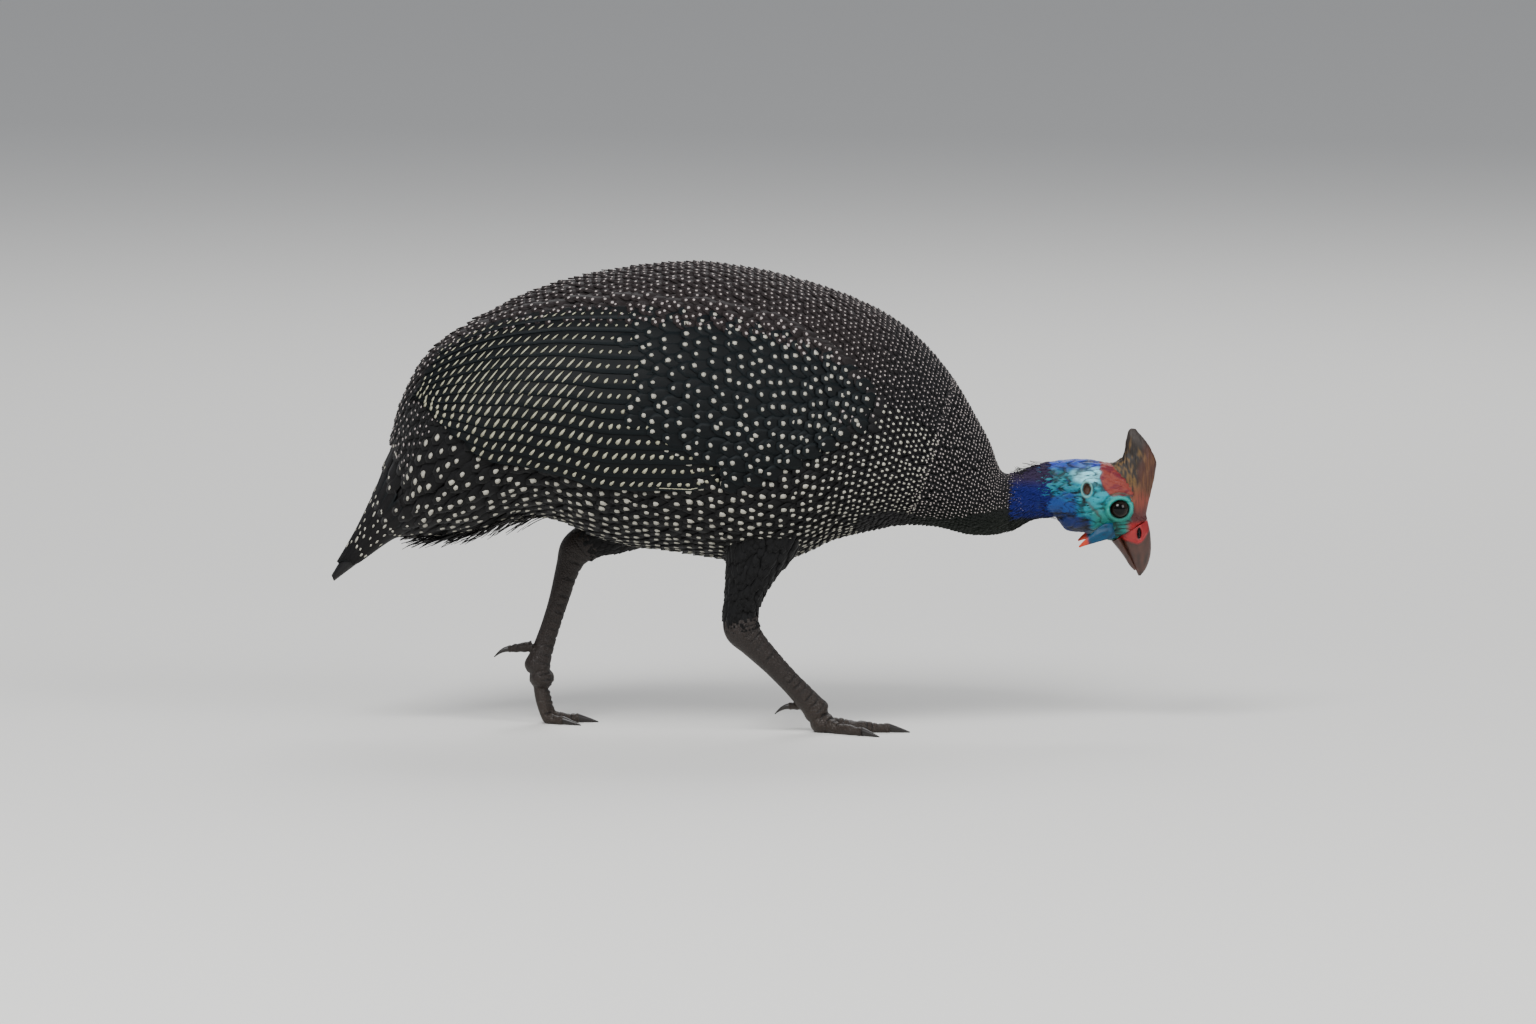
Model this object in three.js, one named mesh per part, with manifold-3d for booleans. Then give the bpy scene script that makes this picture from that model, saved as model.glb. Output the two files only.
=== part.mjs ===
// A helmeted guinea fowl, life size, walking with its head lowered to feed.
// Millimetres. +X is forward, +Y is the bird's left, +Z is up, and the floor is z = 0.
import * as THREE from "three";
import { mergeVertices } from "three/addons/utils/BufferGeometryUtils.js";
import Module from "manifold-3d";

const wasm = await Module();
wasm.setup();

// Driving sizes
const TOUCH_GAP = 0.3; // left between pieces that touch
const EGG = 0.1; // how much narrower the back is than the belly
const SIDES = { left: 1, right: -1 };
const EYE_RADIUS = 6.2;
const EYE = { x: 232.8, y: 11.2, z: 138.0 };
const EAR = { x: 212.6, z: 150.3, long: 3.9, wide: 2.8 };
const WING_DEPTH = 6.5; // how deep the folded wing is set into the flank
const WING_EDGE = 2.4; // the same at the wing's edges
const FLOOR_TRIM = 60; // height of the block that cuts the soles flat

// Rings from the tail to the bill: top x, top z, bottom x, bottom z and half width.
// A ring's plane holds its top point, its bottom point and the Y direction.
const RINGS = {
  tail_tip: [-256.8, 94.4, -254.4, 90.6, 4],
  tail_end: [-242.7, 119.1, -236.5, 103.5, 9],
  tail_late: [-234.1, 137.2, -221.7, 113.5, 19],
  tail_mid: [-226.6, 155.2, -209.9, 117.8, 30],
  tail_root: [-220.4, 175.8, -195.6, 119.1, 41],
  rump_low: [-211.7, 207.0, -180.7, 120.3, 52],
  rump: [-195.6, 233.8, -163.4, 122.8, 62],
  hip: [-169.6, 253.1, -146.0, 127.8, 70],
  loin: [-132.4, 272.4, -120.0, 130.9, 76],
  back_rear: [-89.0, 284.9, -82.8, 116.6, 80],
  back_top: [-33.2, 291.1, -33.2, 108.5, 83],
  shoulder: [13.3, 285.5, 7.1, 102.9, 83],
  breast: [53.6, 274.3, 33.2, 107.2, 79],
  breast_front: [87.7, 259.3, 54.9, 117.2, 72],
  neck_base: [112.5, 240.0, 77.2, 122.8, 63],
  neck_root: [131.1, 216.9, 98.9, 126.6, 52],
  neck_1: [143.5, 195.8, 120.6, 125.3, 42],
  neck_2: [152.8, 178.3, 137.9, 120.9, 32],
  neck_3: [159.7, 160.8, 154.1, 120.3, 23],
  neck_4: [168.3, 159.0, 166.5, 123.4, 17],
  collar: [178.9, 162.7, 180.1, 130.3, 14.5],
  throat: [191.3, 166.5, 192.5, 130.9, 13.5],
  nape: [204.9, 167.7, 201.8, 125.3, 14],
  ear: [218.6, 167.1, 210.5, 122.8, 15.5],
  crown: [231.6, 163.3, 218.6, 120.3, 16],
  brow: [241.5, 154.6, 222.9, 118.4, 15],
  lore: [247.1, 142.1, 226.0, 117.2, 12.5],
  bill_root: [250.5, 130.3, 227.8, 116.9, 9.5],
};
const RING_NAMES = Object.keys(RINGS);
const at = (name) => RING_NAMES.indexOf(name);
const ringCurve = (pick) =>
  new THREE.CatmullRomCurve3(Object.values(RINGS).map(pick), false, "catmullrom", 0.5);
const topLine = ringCurve(([x, z, , , width]) => new THREE.Vector3(x, width, z));
const lowLine = ringCurve(([, , x, z, width]) => new THREE.Vector3(x, width, z));

const radians = THREE.MathUtils.degToRad;
const lerp = THREE.MathUtils.lerp;

// A point of the bird's outer surface. station counts rings from the tail, angle runs in
// degrees from the back over the left side, and rise lifts the point off the surface.
function ringPoint(station, angle) {
  const t = station / (RING_NAMES.length - 1);
  const top = topLine.getPoint(t);
  const low = lowLine.getPoint(t);
  const turn = radians(angle);
  const middle = top.clone().add(low).multiplyScalar(0.5);
  const half = top.clone().sub(low).multiplyScalar(0.5);
  const width = top.y;
  const egg = EGG * THREE.MathUtils.smoothstep(at("neck_2") - station, 0, 4);
  middle.y = 0;
  half.y = 0;
  const point = middle.addScaledVector(half, Math.cos(turn));
  point.y = width * Math.sin(turn) * (1 - egg * Math.cos(turn));
  return point;
}
function bodyPoint(station, angle, rise = 0) {
  const point = ringPoint(station, angle);
  if (rise === 0) return point;
  const ahead = ringPoint(Math.min(station + 0.02, RING_NAMES.length - 1), angle);
  const along = ahead.sub(ringPoint(Math.max(station - 0.02, 0), angle));
  const round = ringPoint(station, angle + 0.5).sub(ringPoint(station, angle - 0.5));
  const normal = along.cross(round).normalize();
  return point.addScaledVector(normal, rise);
}
const ringRadius = (station) => {
  const top = ringPoint(station, 0);
  const low = ringPoint(station, 180);
  return (top.distanceTo(low) / 2 + ringPoint(station, 90).y) / 2;
};

// Closed solids from points
function toSolid(points, triangles) {
  const geometry = new THREE.BufferGeometry().setFromPoints(points);
  geometry.setIndex(triangles);
  return geometrySolid(geometry);
}
function geometrySolid(geometry) {
  geometry.deleteAttribute("normal");
  geometry.deleteAttribute("uv");
  const merged = mergeVertices(geometry, 1e-4);
  const index = Array.from(merged.index.array);
  const make = (triVerts) =>
    new wasm.Manifold(
      new wasm.Mesh({
        numProp: 3,
        vertProperties: new Float32Array(merged.attributes.position.array),
        triVerts: new Uint32Array(triVerts),
      }),
    );
  const made = make(index);
  return made.volume() > 0 ? made : make(index.reverse());
}
// Rings of equal count joined into a tube with a fan over each end
function loft(rings) {
  const count = rings[0].length;
  const points = rings.flat();
  const triangles = [];
  for (let r = 0; r + 1 < rings.length; r++) {
    for (let i = 0; i < count; i++) {
      const a = r * count + i;
      const b = r * count + ((i + 1) % count);
      triangles.push(a, b, a + count, b, b + count, a + count);
    }
  }
  const cap = (ring, start, flip) => {
    const centre = points.length;
    const sum = ring.reduce((total, p) => total.add(p), new THREE.Vector3());
    points.push(sum.divideScalar(count));
    for (let i = 0; i < count; i++) {
      const [a, b] = [start + i, start + ((i + 1) % count)];
      triangles.push(centre, ...(flip ? [b, a] : [a, b]));
    }
  };
  cap(rings[0], 0, true);
  cap(rings.at(-1), (rings.length - 1) * count, false);
  return toSolid(points, triangles);
}
// A plate between two like grids of points, split alike on both faces
function plate(rows, columns, outer, inner) {
  const points = [];
  const triangles = [];
  for (const face of [outer, inner])
    for (let i = 0; i <= rows; i++)
      for (let j = 0; j <= columns; j++) points.push(face(i / rows, j / columns));
  const wide = columns + 1;
  const far = (rows + 1) * wide;
  for (let i = 0; i < rows; i++) {
    for (let j = 0; j < columns; j++) {
      const [a, b] = [i * wide + j, i * wide + j + 1];
      const [c, d] = [a + wide, b + wide];
      triangles.push(a, b, c, b, d, c);
      triangles.push(far + a, far + c, far + b, far + b, far + c, far + d);
    }
  }
  const wall = (a, b) => triangles.push(a, far + a, b, b, far + a, far + b);
  for (let j = 0; j < columns; j++) {
    wall(j, j + 1);
    wall(rows * wide + j + 1, rows * wide + j);
  }
  for (let i = 0; i < rows; i++) {
    wall((i + 1) * wide, i * wide);
    wall(i * wide + columns, (i + 1) * wide + columns);
  }
  return toSolid(points, triangles);
}
function ellipsoid(centre, radii, turnY = 0, segments = 20) {
  const ball = new THREE.SphereGeometry(1, segments, Math.round(segments * 0.6));
  ball.scale(...radii);
  ball.rotateY(radians(turnY));
  ball.translate(centre.x, centre.y, centre.z);
  return geometrySolid(ball);
}
// Elliptical rings along a path: each stop is [x, y, z, half depth, half width]. Depth lies
// in the vertical plane of the path, and width lies across it. scutes raises that many plates
// between each pair of stops, over the front of a leg and the top of a toe, and each plate's
// far edge stands proud of the next.
const SCUTE_RISE = 0.45;
const SCUTE_LOW = 0.05; // rise of a scute's near edge
function limbRings(stops, around, scutes = 0) {
  const path = stops.map(([x, y, z]) => new THREE.Vector3(x, y, z));
  const ring = (i, t, rise) => {
    const ahead = path[Math.min(i + 1, path.length - 1)];
    const behind = path[Math.max(i - 1, 0)];
    const next = Math.min(i + 1, path.length - 1);
    const far = path[Math.min(i + 2, path.length - 1)];
    const here = ahead.clone().sub(behind).normalize();
    const there = far.clone().sub(path[i]).normalize();
    const along = here.lerp(there, t).normalize();
    const across = new THREE.Vector3(0, 1, 0).addScaledVector(along, -along.y).normalize();
    const deep = along.clone().cross(across);
    const centre = path[i].clone().lerp(path[next], t);
    return Array.from({ length: around }, (_, k) => {
      const turn = (k / around) * 2 * Math.PI;
      const front = Math.max(0, Math.cos(turn) + 0.35) / 1.35;
      const depth = lerp(stops[i][3], stops[next][3], t) + rise * front;
      const width = lerp(stops[i][4], stops[next][4], t) + rise * front;
      return centre
        .clone()
        .addScaledVector(deep, Math.cos(turn) * depth)
        .addScaledVector(across, Math.sin(turn) * width);
    });
  };
  return stops.flatMap((_, i) => {
    if (scutes === 0 || i === stops.length - 1) return [ring(i, 0, 0)];
    return Array.from({ length: scutes }, (_, k) => [
      ring(i, k / scutes, k === 0 ? 0 : SCUTE_LOW),
      ring(i, (k + 0.88) / scutes, SCUTE_RISE),
    ]).flat();
  });
}
// The ring moved square to its own plane, away from the rings before it
function shiftedRing(ring, distance) {
  const plane = new THREE.Plane().setFromCoplanarPoints(
    ring[0],
    ring[Math.round(ring.length / 3)],
    ring[Math.round((2 * ring.length) / 3)],
  );
  return ring.map((point) => point.clone().addScaledVector(plane.normal, -distance));
}
const fuse = (pieces) => pieces.reduce((whole, piece) => whole.add(piece));
const largest = (made) =>
  made.decompose().reduce((best, body) => (body.volume() > best.volume() ? body : best));
const SLIVER = 0.12; // facets that stray less than this are merged after a union
const joined = (pieces) => largest(largest(fuse(pieces)).simplify(SLIVER));

// Stretches of the body between two stations, with the thin cut at each end
const CUT = 0.008;
const NECK_CUT = 0.02;
const SUNK_CUT = 0.04; // a sunk core leans towards the rump, so it is cut further back
function stretch(from, to, around, perRing, rise = 0) {
  const count = Math.max(2, Math.ceil((to - from) * perRing));
  const rings = [];
  for (let i = 0; i <= count; i++) {
    const station = lerp(from, to, i / count);
    rings.push(
      Array.from({ length: around }, (_, k) => bodyPoint(station, (k * 360) / around, rise)),
    );
  }
  return loft(rings);
}

const bodyHull = (rise) =>
  stretch(at("tail_root") + CUT, at("neck_root") - CUT, 32, 1.5, rise);
const headHull = (rise) =>
  stretch(at("nape") + NECK_CUT, at("bill_root") - NECK_CUT, 24, 2.4, rise);

// A tier of overlapping feathers as one closed sheet over a patch. place(u, v, rise) gives the
// patch's points, and root is the u where the tier starts. Each feather has three lines across
// it, { v, rise, tip }: its high edge lies under the feather above, and its low edge stands
// proud of the next. depthAt(u) is how far the sheet is sunk into its core.
const TIER_DEPTH = 1.4;
const CORE_DROP = 0.8; // how far a core lies below the skin line under its tiers
const EDGE_OFFSET = 0.0016; // share of a patch between a low edge and the next high edge
function featherLines({ count, from, to, tipAt, lift, step, round }) {
  return Array.from({ length: count }, (_, i) => {
    const high = lerp(from, to, i / count);
    const low = lerp(from, to, (i + 1) / count);
    const tip = tipAt((i + 0.5) / count);
    return [
      { v: high, rise: lift - step, tip: tip + round },
      { v: lerp(high, low, 0.55), rise: lift - step * 0.3, tip },
      { v: low - EDGE_OFFSET * Math.sign(to - from), rise: lift, tip: tip + round * 0.8 },
    ];
  }).flat();
}
function tier(place, root, lines, steps, depthAt = () => TIER_DEPTH) {
  const spot = (a, b) => {
    const line = lines[Math.round(b * (lines.length - 1))];
    return { u: lerp(root, line.tip, a), v: line.v, line };
  };
  return plate(
    steps,
    lines.length - 1,
    (a, b) => {
      const { u, v, line } = spot(a, b);
      return place(u, v, lerp(line.rise * 0.1 - 0.5, line.rise, Math.min(1, a * 4)));
    },
    (a, b) => {
      const { u, v } = spot(a, b);
      return place(u, v, -depthAt(u));
    },
  );
}

// The wing's patch on the flank: stations with the angle of its upper and lower edge
const WING_PATCH = [
  [5.4, 24, 46],
  [6, 20, 84],
  [7, 23, 106],
  [8, 34, 119],
  [9, 40, 121],
  [10, 45, 119],
  [11, 47, 109],
  [12, 54, 96],
  [13, 68, 83],
];
function wingEdges(station) {
  const next = WING_PATCH.findIndex(([s]) => s >= station);
  const i = Math.max(1, next < 0 ? WING_PATCH.length - 1 : next);
  const [s0, high0, low0] = WING_PATCH[i - 1];
  const [s1, high1, low1] = WING_PATCH[i];
  const t = (station - s0) / (s1 - s0);
  return [lerp(high0, high1, t), lerp(low0, low1, t)];
}
// A point of the wing: u runs from its rear tip to the shoulder and v from its upper edge to
// its lower edge. spread pushes the point outwards, past the edges.
function wingPoint(side, u, v, rise, spread = 0) {
  const station = lerp(WING_PATCH[0][0], WING_PATCH.at(-1)[0], u);
  const [high, low] = wingEdges(station);
  const extra = THREE.MathUtils.radToDeg(spread / ringRadius(station));
  const grown = station + (u - 0.5) * 2 * (spread / 30);
  return bodyPoint(grown, side * lerp(high - extra, low + extra, v), rise);
}
// The folded wing's plate, which thins to its edges. Grown by a gap it is the bed that the
// torso is cut by.
function wingCore(side, spread, lift) {
  const arch = (t) => Math.sin(Math.PI * (0.06 + 0.88 * t));
  const depth = (u, v) => WING_EDGE + (WING_DEPTH - WING_EDGE) * Math.sqrt(arch(u) * arch(v));
  return plate(
    15,
    6,
    (u, v) => wingPoint(side, u, v, lift, spread),
    (u, v) => wingPoint(side, u, v, -depth(u, v) - spread, spread),
  );
}

// Tiers of the folded wing, from its long flight feathers to its shoulder, then the feathers
// of the shoulder that lie over its upper edge. tips holds the u of the tips at the upper edge,
// halfway and at the lower edge.
const WING_TIERS = [
  { count: 12, root: 0.62, tips: [0.1, 0.006, 0.1], from: 0.014, to: 0.986, lift: 1, steps: 6 },
  { count: 10, root: 0.8, tips: [0.5, 0.45, 0.52], from: 0.016, to: 0.984, lift: 1.8, steps: 3 },
  { count: 9, root: 0.9, tips: [0.68, 0.66, 0.7], from: 0.018, to: 0.982, lift: 2.2, steps: 3 },
  { count: 6, root: 0.985, tips: [0.83, 0.82, 0.84], from: 0.02, to: 0.97, lift: 2.2, steps: 3 },
  { count: 3, root: 0.88, tips: [0.4, 0.5, 0.6], from: 0.014, to: 0.2, lift: 2.9, steps: 5 },
];
const WING_STEP = 0.8; // how far a feather stands over the next
const WING_TIP_ROUND = 0.02;
function makeWing(side) {
  const place = (u, v, rise) => wingPoint(side, u, v, rise);
  const tiers = WING_TIERS.map(({ count, root, tips, from, to, lift, steps }) => {
    const tipAt = (t) =>
      t < 0.5 ? lerp(tips[0], tips[1], t * 2) : lerp(tips[1], tips[2], t * 2 - 1);
    const look = { tipAt, lift, step: WING_STEP, round: WING_TIP_ROUND };
    return tier(place, root, featherLines({ count, from, to, ...look }), steps);
  });
  return joined([wingCore(side, 0, -CORE_DROP), ...tiers]);
}

// Torso
function makeTorso() {
  return Object.values(SIDES).reduce(
    (body, side) => body.subtract(wingCore(side, TOUCH_GAP, 4)),
    bodyHull(0),
  );
}

// Head
function makeHead() {
  return Object.values(SIDES).reduce((head, side) => {
    const eye = new THREE.Vector3(EYE.x, side * EYE.y, EYE.z);
    const lids = ellipsoid(eye, [8.4, 6.6, 8.0], 0, 13);
    const socket = ellipsoid(eye, Array(3).fill(EYE_RADIUS + TOUCH_GAP + 0.1), 0, 12);
    const opening = ellipsoid(
      new THREE.Vector3(EYE.x, side * (EYE.y + 6), EYE.z),
      [5.4, 6, 5.0],
      0,
      12,
    );
    const earPlace = new THREE.Vector3(EAR.x, side * 14.6, EAR.z);
    const earRim = ellipsoid(earPlace, [EAR.wide + 1.2, 1.7, EAR.long + 1.2], 12, 10);
    const earHole = ellipsoid(
      new THREE.Vector3(EAR.x, side * 16.2, EAR.z),
      [EAR.wide, 3.2, EAR.long],
      12,
      10,
    );
    return head.add(lids).add(earRim).subtract(socket).subtract(opening).subtract(earHole);
  }, headHull(0));
}

// Casque: rings up the helmet, rear x, rear z, front x, front z and half width
const CASQUE_RINGS = [
  [221.5, 155.0, 246.0, 130.0, 11.5],
  [224.0, 163.5, 250.4, 137.0, 10.5],
  [232.2, 166.8, 252.6, 147.5, 8.6],
  [235.4, 169.8, 254.9, 157.5, 7.0],
  [236.7, 174.0, 255.6, 165.5, 5.8],
  [237.2, 179.0, 252.8, 173.6, 4.8],
  [237.7, 183.0, 248.6, 180.0, 3.8],
  [238.6, 185.8, 244.4, 184.9, 2.4],
];
function makeCasque() {
  const around = 20;
  const rings = CASQUE_RINGS.map(([rearX, rearZ, frontX, frontZ, width]) => {
    const rear = new THREE.Vector3(rearX, 0, rearZ);
    const front = new THREE.Vector3(frontX, 0, frontZ);
    const middle = rear.clone().lerp(front, 0.5);
    const half = front.clone().sub(rear).multiplyScalar(0.5);
    return Array.from({ length: around }, (_, k) => {
      const turn = (k / around) * 2 * Math.PI;
      const point = middle.clone().addScaledVector(half, Math.cos(turn));
      point.y = width * Math.sin(turn);
      return point;
    });
  });
  const lids = Object.values(SIDES).map((side) =>
    ellipsoid(new THREE.Vector3(EYE.x, side * EYE.y, EYE.z), [8.8, 7.0, 8.4], 0, 14),
  );
  const helmet = loft(rings).subtract(headHull(TOUCH_GAP));
  return largest(lids.reduce((made, lid) => made.subtract(lid), helmet));
}

// Bill: each ring runs from its upper line to its lower line in the side view
const UPPER_BILL = [
  [250.5, 130.0, 232.5, 119.6, 8.8],
  [252.0, 123.4, 234.1, 116.7, 8.2],
  [252.7, 116.6, 236.2, 112.3, 7.2],
  [252.7, 110.3, 238.7, 107.6, 6],
  [251.7, 104.7, 240.9, 103.2, 4.6],
  [249.6, 99.4, 243.0, 99.1, 3],
  [246.4, 95.1, 244.9, 95.1, 1.2],
];
const LOWER_BILL = [
  [232.2, 119.2, 228.2, 116.7, 7.8],
  [233.8, 116.2, 230.9, 113.5, 7],
  [235.9, 111.9, 233.7, 110.0, 6],
  [238.3, 107.2, 236.6, 105.9, 4.6],
  [240.5, 102.8, 239.2, 101.7, 3.2],
  [242.6, 98.7, 242.0, 97.9, 1.6],
];
function billRings(table, flatness, drop) {
  const around = 16;
  return table.map(([topX, topZ, lowX, lowZ, width]) => {
    const top = new THREE.Vector3(topX, 0, topZ);
    const low = new THREE.Vector3(lowX, 0, lowZ);
    const middle = top.clone().lerp(low, 0.5);
    const half = top.clone().sub(low).multiplyScalar(0.5);
    return Array.from({ length: around }, (_, k) => {
      const turn = (k / around) * 2 * Math.PI;
      const up = Math.cos(turn);
      const flat = up * flatness > 0 ? 1 : drop;
      const point = middle.clone().addScaledVector(half, up * flat);
      point.y = width * Math.sin(turn);
      return point;
    });
  });
}
function makeUpperBill() {
  const nostrils = Object.values(SIDES).map((side) =>
    ellipsoid(new THREE.Vector3(245.0, side * 8.4, 120.6), [1.0, 2.4, 3.2], 8, 10),
  );
  return nostrils.reduce(
    (bill, hole) => bill.subtract(hole),
    loft(billRings(UPPER_BILL, 1, 0.92)),
  );
}
const makeLowerBill = () => loft(billRings(LOWER_BILL, -1, 0.8));

// Wattle: a fleshy flap from the corner of the mouth, [x, z, half depth, half thickness],
// swollen into a bulb between each pair of folds
const WATTLE = [
  [227.6, 124.4, 5.0, 1.6],
  [225.2, 123.8, 5.5, 2.3],
  [222.5, 122.8, 4.7, 1.5],
  [219.9, 121.6, 4.6, 2.1],
  [217.4, 120.2, 3.7, 1.3],
  [214.9, 118.9, 3.5, 1.8],
  [212.6, 117.4, 2.6, 1.1],
  [210.2, 116.0, 2.2, 1.4],
  [208.6, 115.0, 1.3, 0.8],
];
const WATTLE_SPREAD = 3.6; // how much further out the wattle's tip stands than its root
function makeWattle(side) {
  const stops = WATTLE.map(([x, z, deep, thick], i) => {
    const out = 14.6 + (i / (WATTLE.length - 1)) * WATTLE_SPREAD;
    return [x, side * out, z, deep, thick];
  });
  return largest(loft(limbRings(stops, 12)).subtract(headHull(TOUCH_GAP)));
}

// Legs: stops run from the thigh to the foot as [x, y, z, half depth, half width]. bareFrom
// counts the stop where the feathered thigh ends and the scaled shank begins.
const LEG_AROUND = 12;
const SHANK_SCUTES = 2; // between each pair of stops
const TOE_SCUTES = 1;
const TOE_AROUND = 8;
const LEGS = {
  right: {
    bareFrom: 4,
    stops: [
      [20, -36, 150, 30, 22],
      [12, -38, 124, 25, 19],
      [5, -40, 104, 17, 14.5],
      [0, -40, 86, 12, 10.5],
      [-2, -40, 73.5, 11, 9],
      [-0.5, -39.6, 65.5, 11.2, 9],
      [6, -37.5, 57, 8.8, 7.4],
      [18, -33, 44, 7.2, 6],
      [28, -29, 33, 6.7, 5.7],
      [35.5, -26.1, 24.8, 7, 6],
      [42, -23.5, 17.4, 7.4, 7],
      [46, -22, 12.4, 8.2, 8],
      [48.5, -21, 9.6, 5, 5],
    ],
    foot: { x: 46, y: -22, z: 12.4, heading: -4 },
  },
  left: {
    bareFrom: 3,
    stops: [
      [-42, 34, 152, 30, 20],
      [-62, 35, 134, 25, 17],
      [-82, 34, 121, 17, 13],
      [-95, 33, 114, 12, 10],
      [-104, 32, 107.5, 10.8, 9],
      [-109, 31, 97, 7.8, 7.2],
      [-114.5, 29.5, 78, 6.3, 5.8],
      [-119, 28.4, 63.5, 6.0, 5.5],
      [-122.5, 27.7, 53, 6.2, 5.8],
      [-126, 27, 42.5, 7.0, 6.8],
      [-128.5, 26.5, 35, 8.2, 8],
      [-129.8, 26.2, 30.6, 5, 5],
    ],
    foot: { x: -128.5, y: 26.5, z: 35, heading: 5 },
  },
};
const FOOT_STOPS = 4; // the last stops of a leg belong to its foot
function legRings(name) {
  const { bareFrom, stops } = LEGS[name];
  const rings = limbRings(stops, LEG_AROUND);
  const scaled = limbRings(stops, LEG_AROUND, SHANK_SCUTES);
  const footFrom = rings.length - FOOT_STOPS;
  const perStop = 2 * SHANK_SCUTES;
  const gapAfter = (ring) => shiftedRing(ring, TOUCH_GAP);
  return {
    thigh: rings.slice(0, bareFrom + 1),
    shank: [
      gapAfter(rings[bareFrom]),
      ...scaled.slice(bareFrom * perStop + 1, footFrom * perStop),
      rings[footFrom],
    ],
    heel: [gapAfter(rings[footFrom]), ...rings.slice(footFrom + 1)],
  };
}
const makeThigh = (name) =>
  largest(loft(legRings(name).thigh).subtract(bodyHull(TOUCH_GAP)));
const makeShank = (name) => loft(legRings(name).shank);

// Toes: heading from straight ahead in degrees, length and half thickness at the root
const TOES = {
  inner: { turn: 34, long: 33, thick: 4.4 },
  middle: { turn: 0, long: 45, thick: 4.8 },
  outer: { turn: -34, long: 36, thick: 4.4 },
  hind: { turn: 180, long: 15, thick: 3.6 },
};
const CLAW_LONG = 12;
// The toe's path from the ball of the foot: a planted foot lies flat, and the pushing foot
// drops from its raised ball onto the floor before it turns flat.
function toePath(name, toe) {
  const { x, y, z, heading } = LEGS[name].foot;
  const raised = z > 20;
  const { turn, long, thick } = TOES[toe];
  const side = SIDES[name];
  const course = radians(heading + (toe === "hind" ? turn : turn * -side));
  const ahead = new THREE.Vector2(Math.cos(course), Math.sin(course));
  const stops = [];
  const steps = 6;
  for (let i = 0; i <= steps; i++) {
    const u = i / steps;
    const girth = lerp(thick, thick * 0.62, u) * (1 + 0.07 * Math.cos(u * 6 * Math.PI));
    let reach = u * long;
    let height = lerp(z - 6, girth * 0.86, Math.min(1, u * 2.4));
    if (toe === "hind") {
      height = z + (raised ? 13 : 5) - u * 1.5;
      reach = 3 + u * long;
    } else if (raised) {
      const drop = THREE.MathUtils.smoothstep(u, 0, 0.62);
      height = lerp(z - 3, girth * 0.86, drop);
      reach = long * (0.16 * u + 0.42 * u * u);
    }
    stops.push([x + ahead.x * reach, y + ahead.y * reach, height, girth, girth]);
  }
  return stops;
}
function makeFoot(name) {
  const { x, y, z } = LEGS[name].foot;
  const pad = ellipsoid(new THREE.Vector3(x + 3, y, z - 6.8), [8.4, 9, 7], 0, 10);
  const toes = Object.keys(TOES).map((toe) =>
    loft(limbRings(toePath(name, toe), TOE_AROUND, toe === "hind" ? 0 : TOE_SCUTES)),
  );
  const floor = new THREE.BoxGeometry(400, 200, FLOOR_TRIM).translate(0, 0, -FLOOR_TRIM / 2);
  return largest(
    fuse([loft(legRings(name).heel), pad, ...toes]).subtract(geometrySolid(floor)),
  );
}
function makeClaw(name, toe) {
  const stops = toePath(name, toe);
  const tip = new THREE.Vector3(...stops.at(-1).slice(0, 3));
  const before = new THREE.Vector3(...stops.at(-2).slice(0, 3));
  const course = tip.clone().sub(before).normalize();
  const girth = stops.at(-1)[3];
  const hind = toe === "hind";
  const root = shiftedRing(limbRings(stops, TOE_AROUND).at(-1), TOUCH_GAP);
  const middle = tip.clone().addScaledVector(course, TOUCH_GAP);
  const narrowed = root.map((point) => middle.clone().lerp(point, 0.84));
  const shape = [0, 0.3, 0.6, 0.85, 1].map((u) => {
    const reach = TOUCH_GAP + u * CLAW_LONG * (hind ? 0.7 : 1);
    const thick = lerp(girth * 0.84, 0.35, u ** 1.2);
    const height = hind ? tip.z - 5 * u * u : Math.max(thick + 0.02, tip.z * (1.1 - u));
    return [tip.x + course.x * reach, tip.y + course.y * reach, height, thick, thick * 0.8];
  });
  return loft([narrowed, ...limbRings(shape, TOE_AROUND).slice(1)]);
}

// Tail: quills fanned from the middle over both sides, and shorter coverts over their roots
const TAIL_TIERS = [
  { pairs: 6, root: 3.3, low: 138, tips: [0, 1], lift: 1, step: 0.8, round: 0.2, steps: 5 },
  { pairs: 5, root: 3.85, low: 150, tips: [2.1, 2.7], lift: 2, step: 0.9, round: 0.3, steps: 3 },
];
const MIDDLE_QUILL = 11; // degrees from the middle to the edge of the middle feather
function makeTail() {
  const place = (u, v, rise) => bodyPoint(u, v, rise);
  const depthAt = (station) => Math.min(TIER_DEPTH, ringRadius(station) * 0.3);
  const tiers = TAIL_TIERS.map(({ pairs, root, low, tips, lift, step, round, steps }) => {
    const look = { count: pairs, lift, step, round, tipAt: (t) => lerp(tips[0], tips[1], t) };
    const left = featherLines({ from: MIDDLE_QUILL, to: low, ...look });
    const right = featherLines({ from: -MIDDLE_QUILL, to: -low, ...look }).reverse();
    const middle = [-1, 0, 1].map((k) => ({
      v: k * (MIDDLE_QUILL - 0.4),
      rise: lift + (k === 0 ? 0.2 : 0),
      tip: tips[0] + Math.abs(k) * round,
    }));
    return tier(place, root, [...right, ...middle, ...left], steps, depthAt);
  });
  return joined([stretch(1, at("tail_root") - SUNK_CUT, 20, 2, -CORE_DROP), ...tiers]);
}

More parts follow.
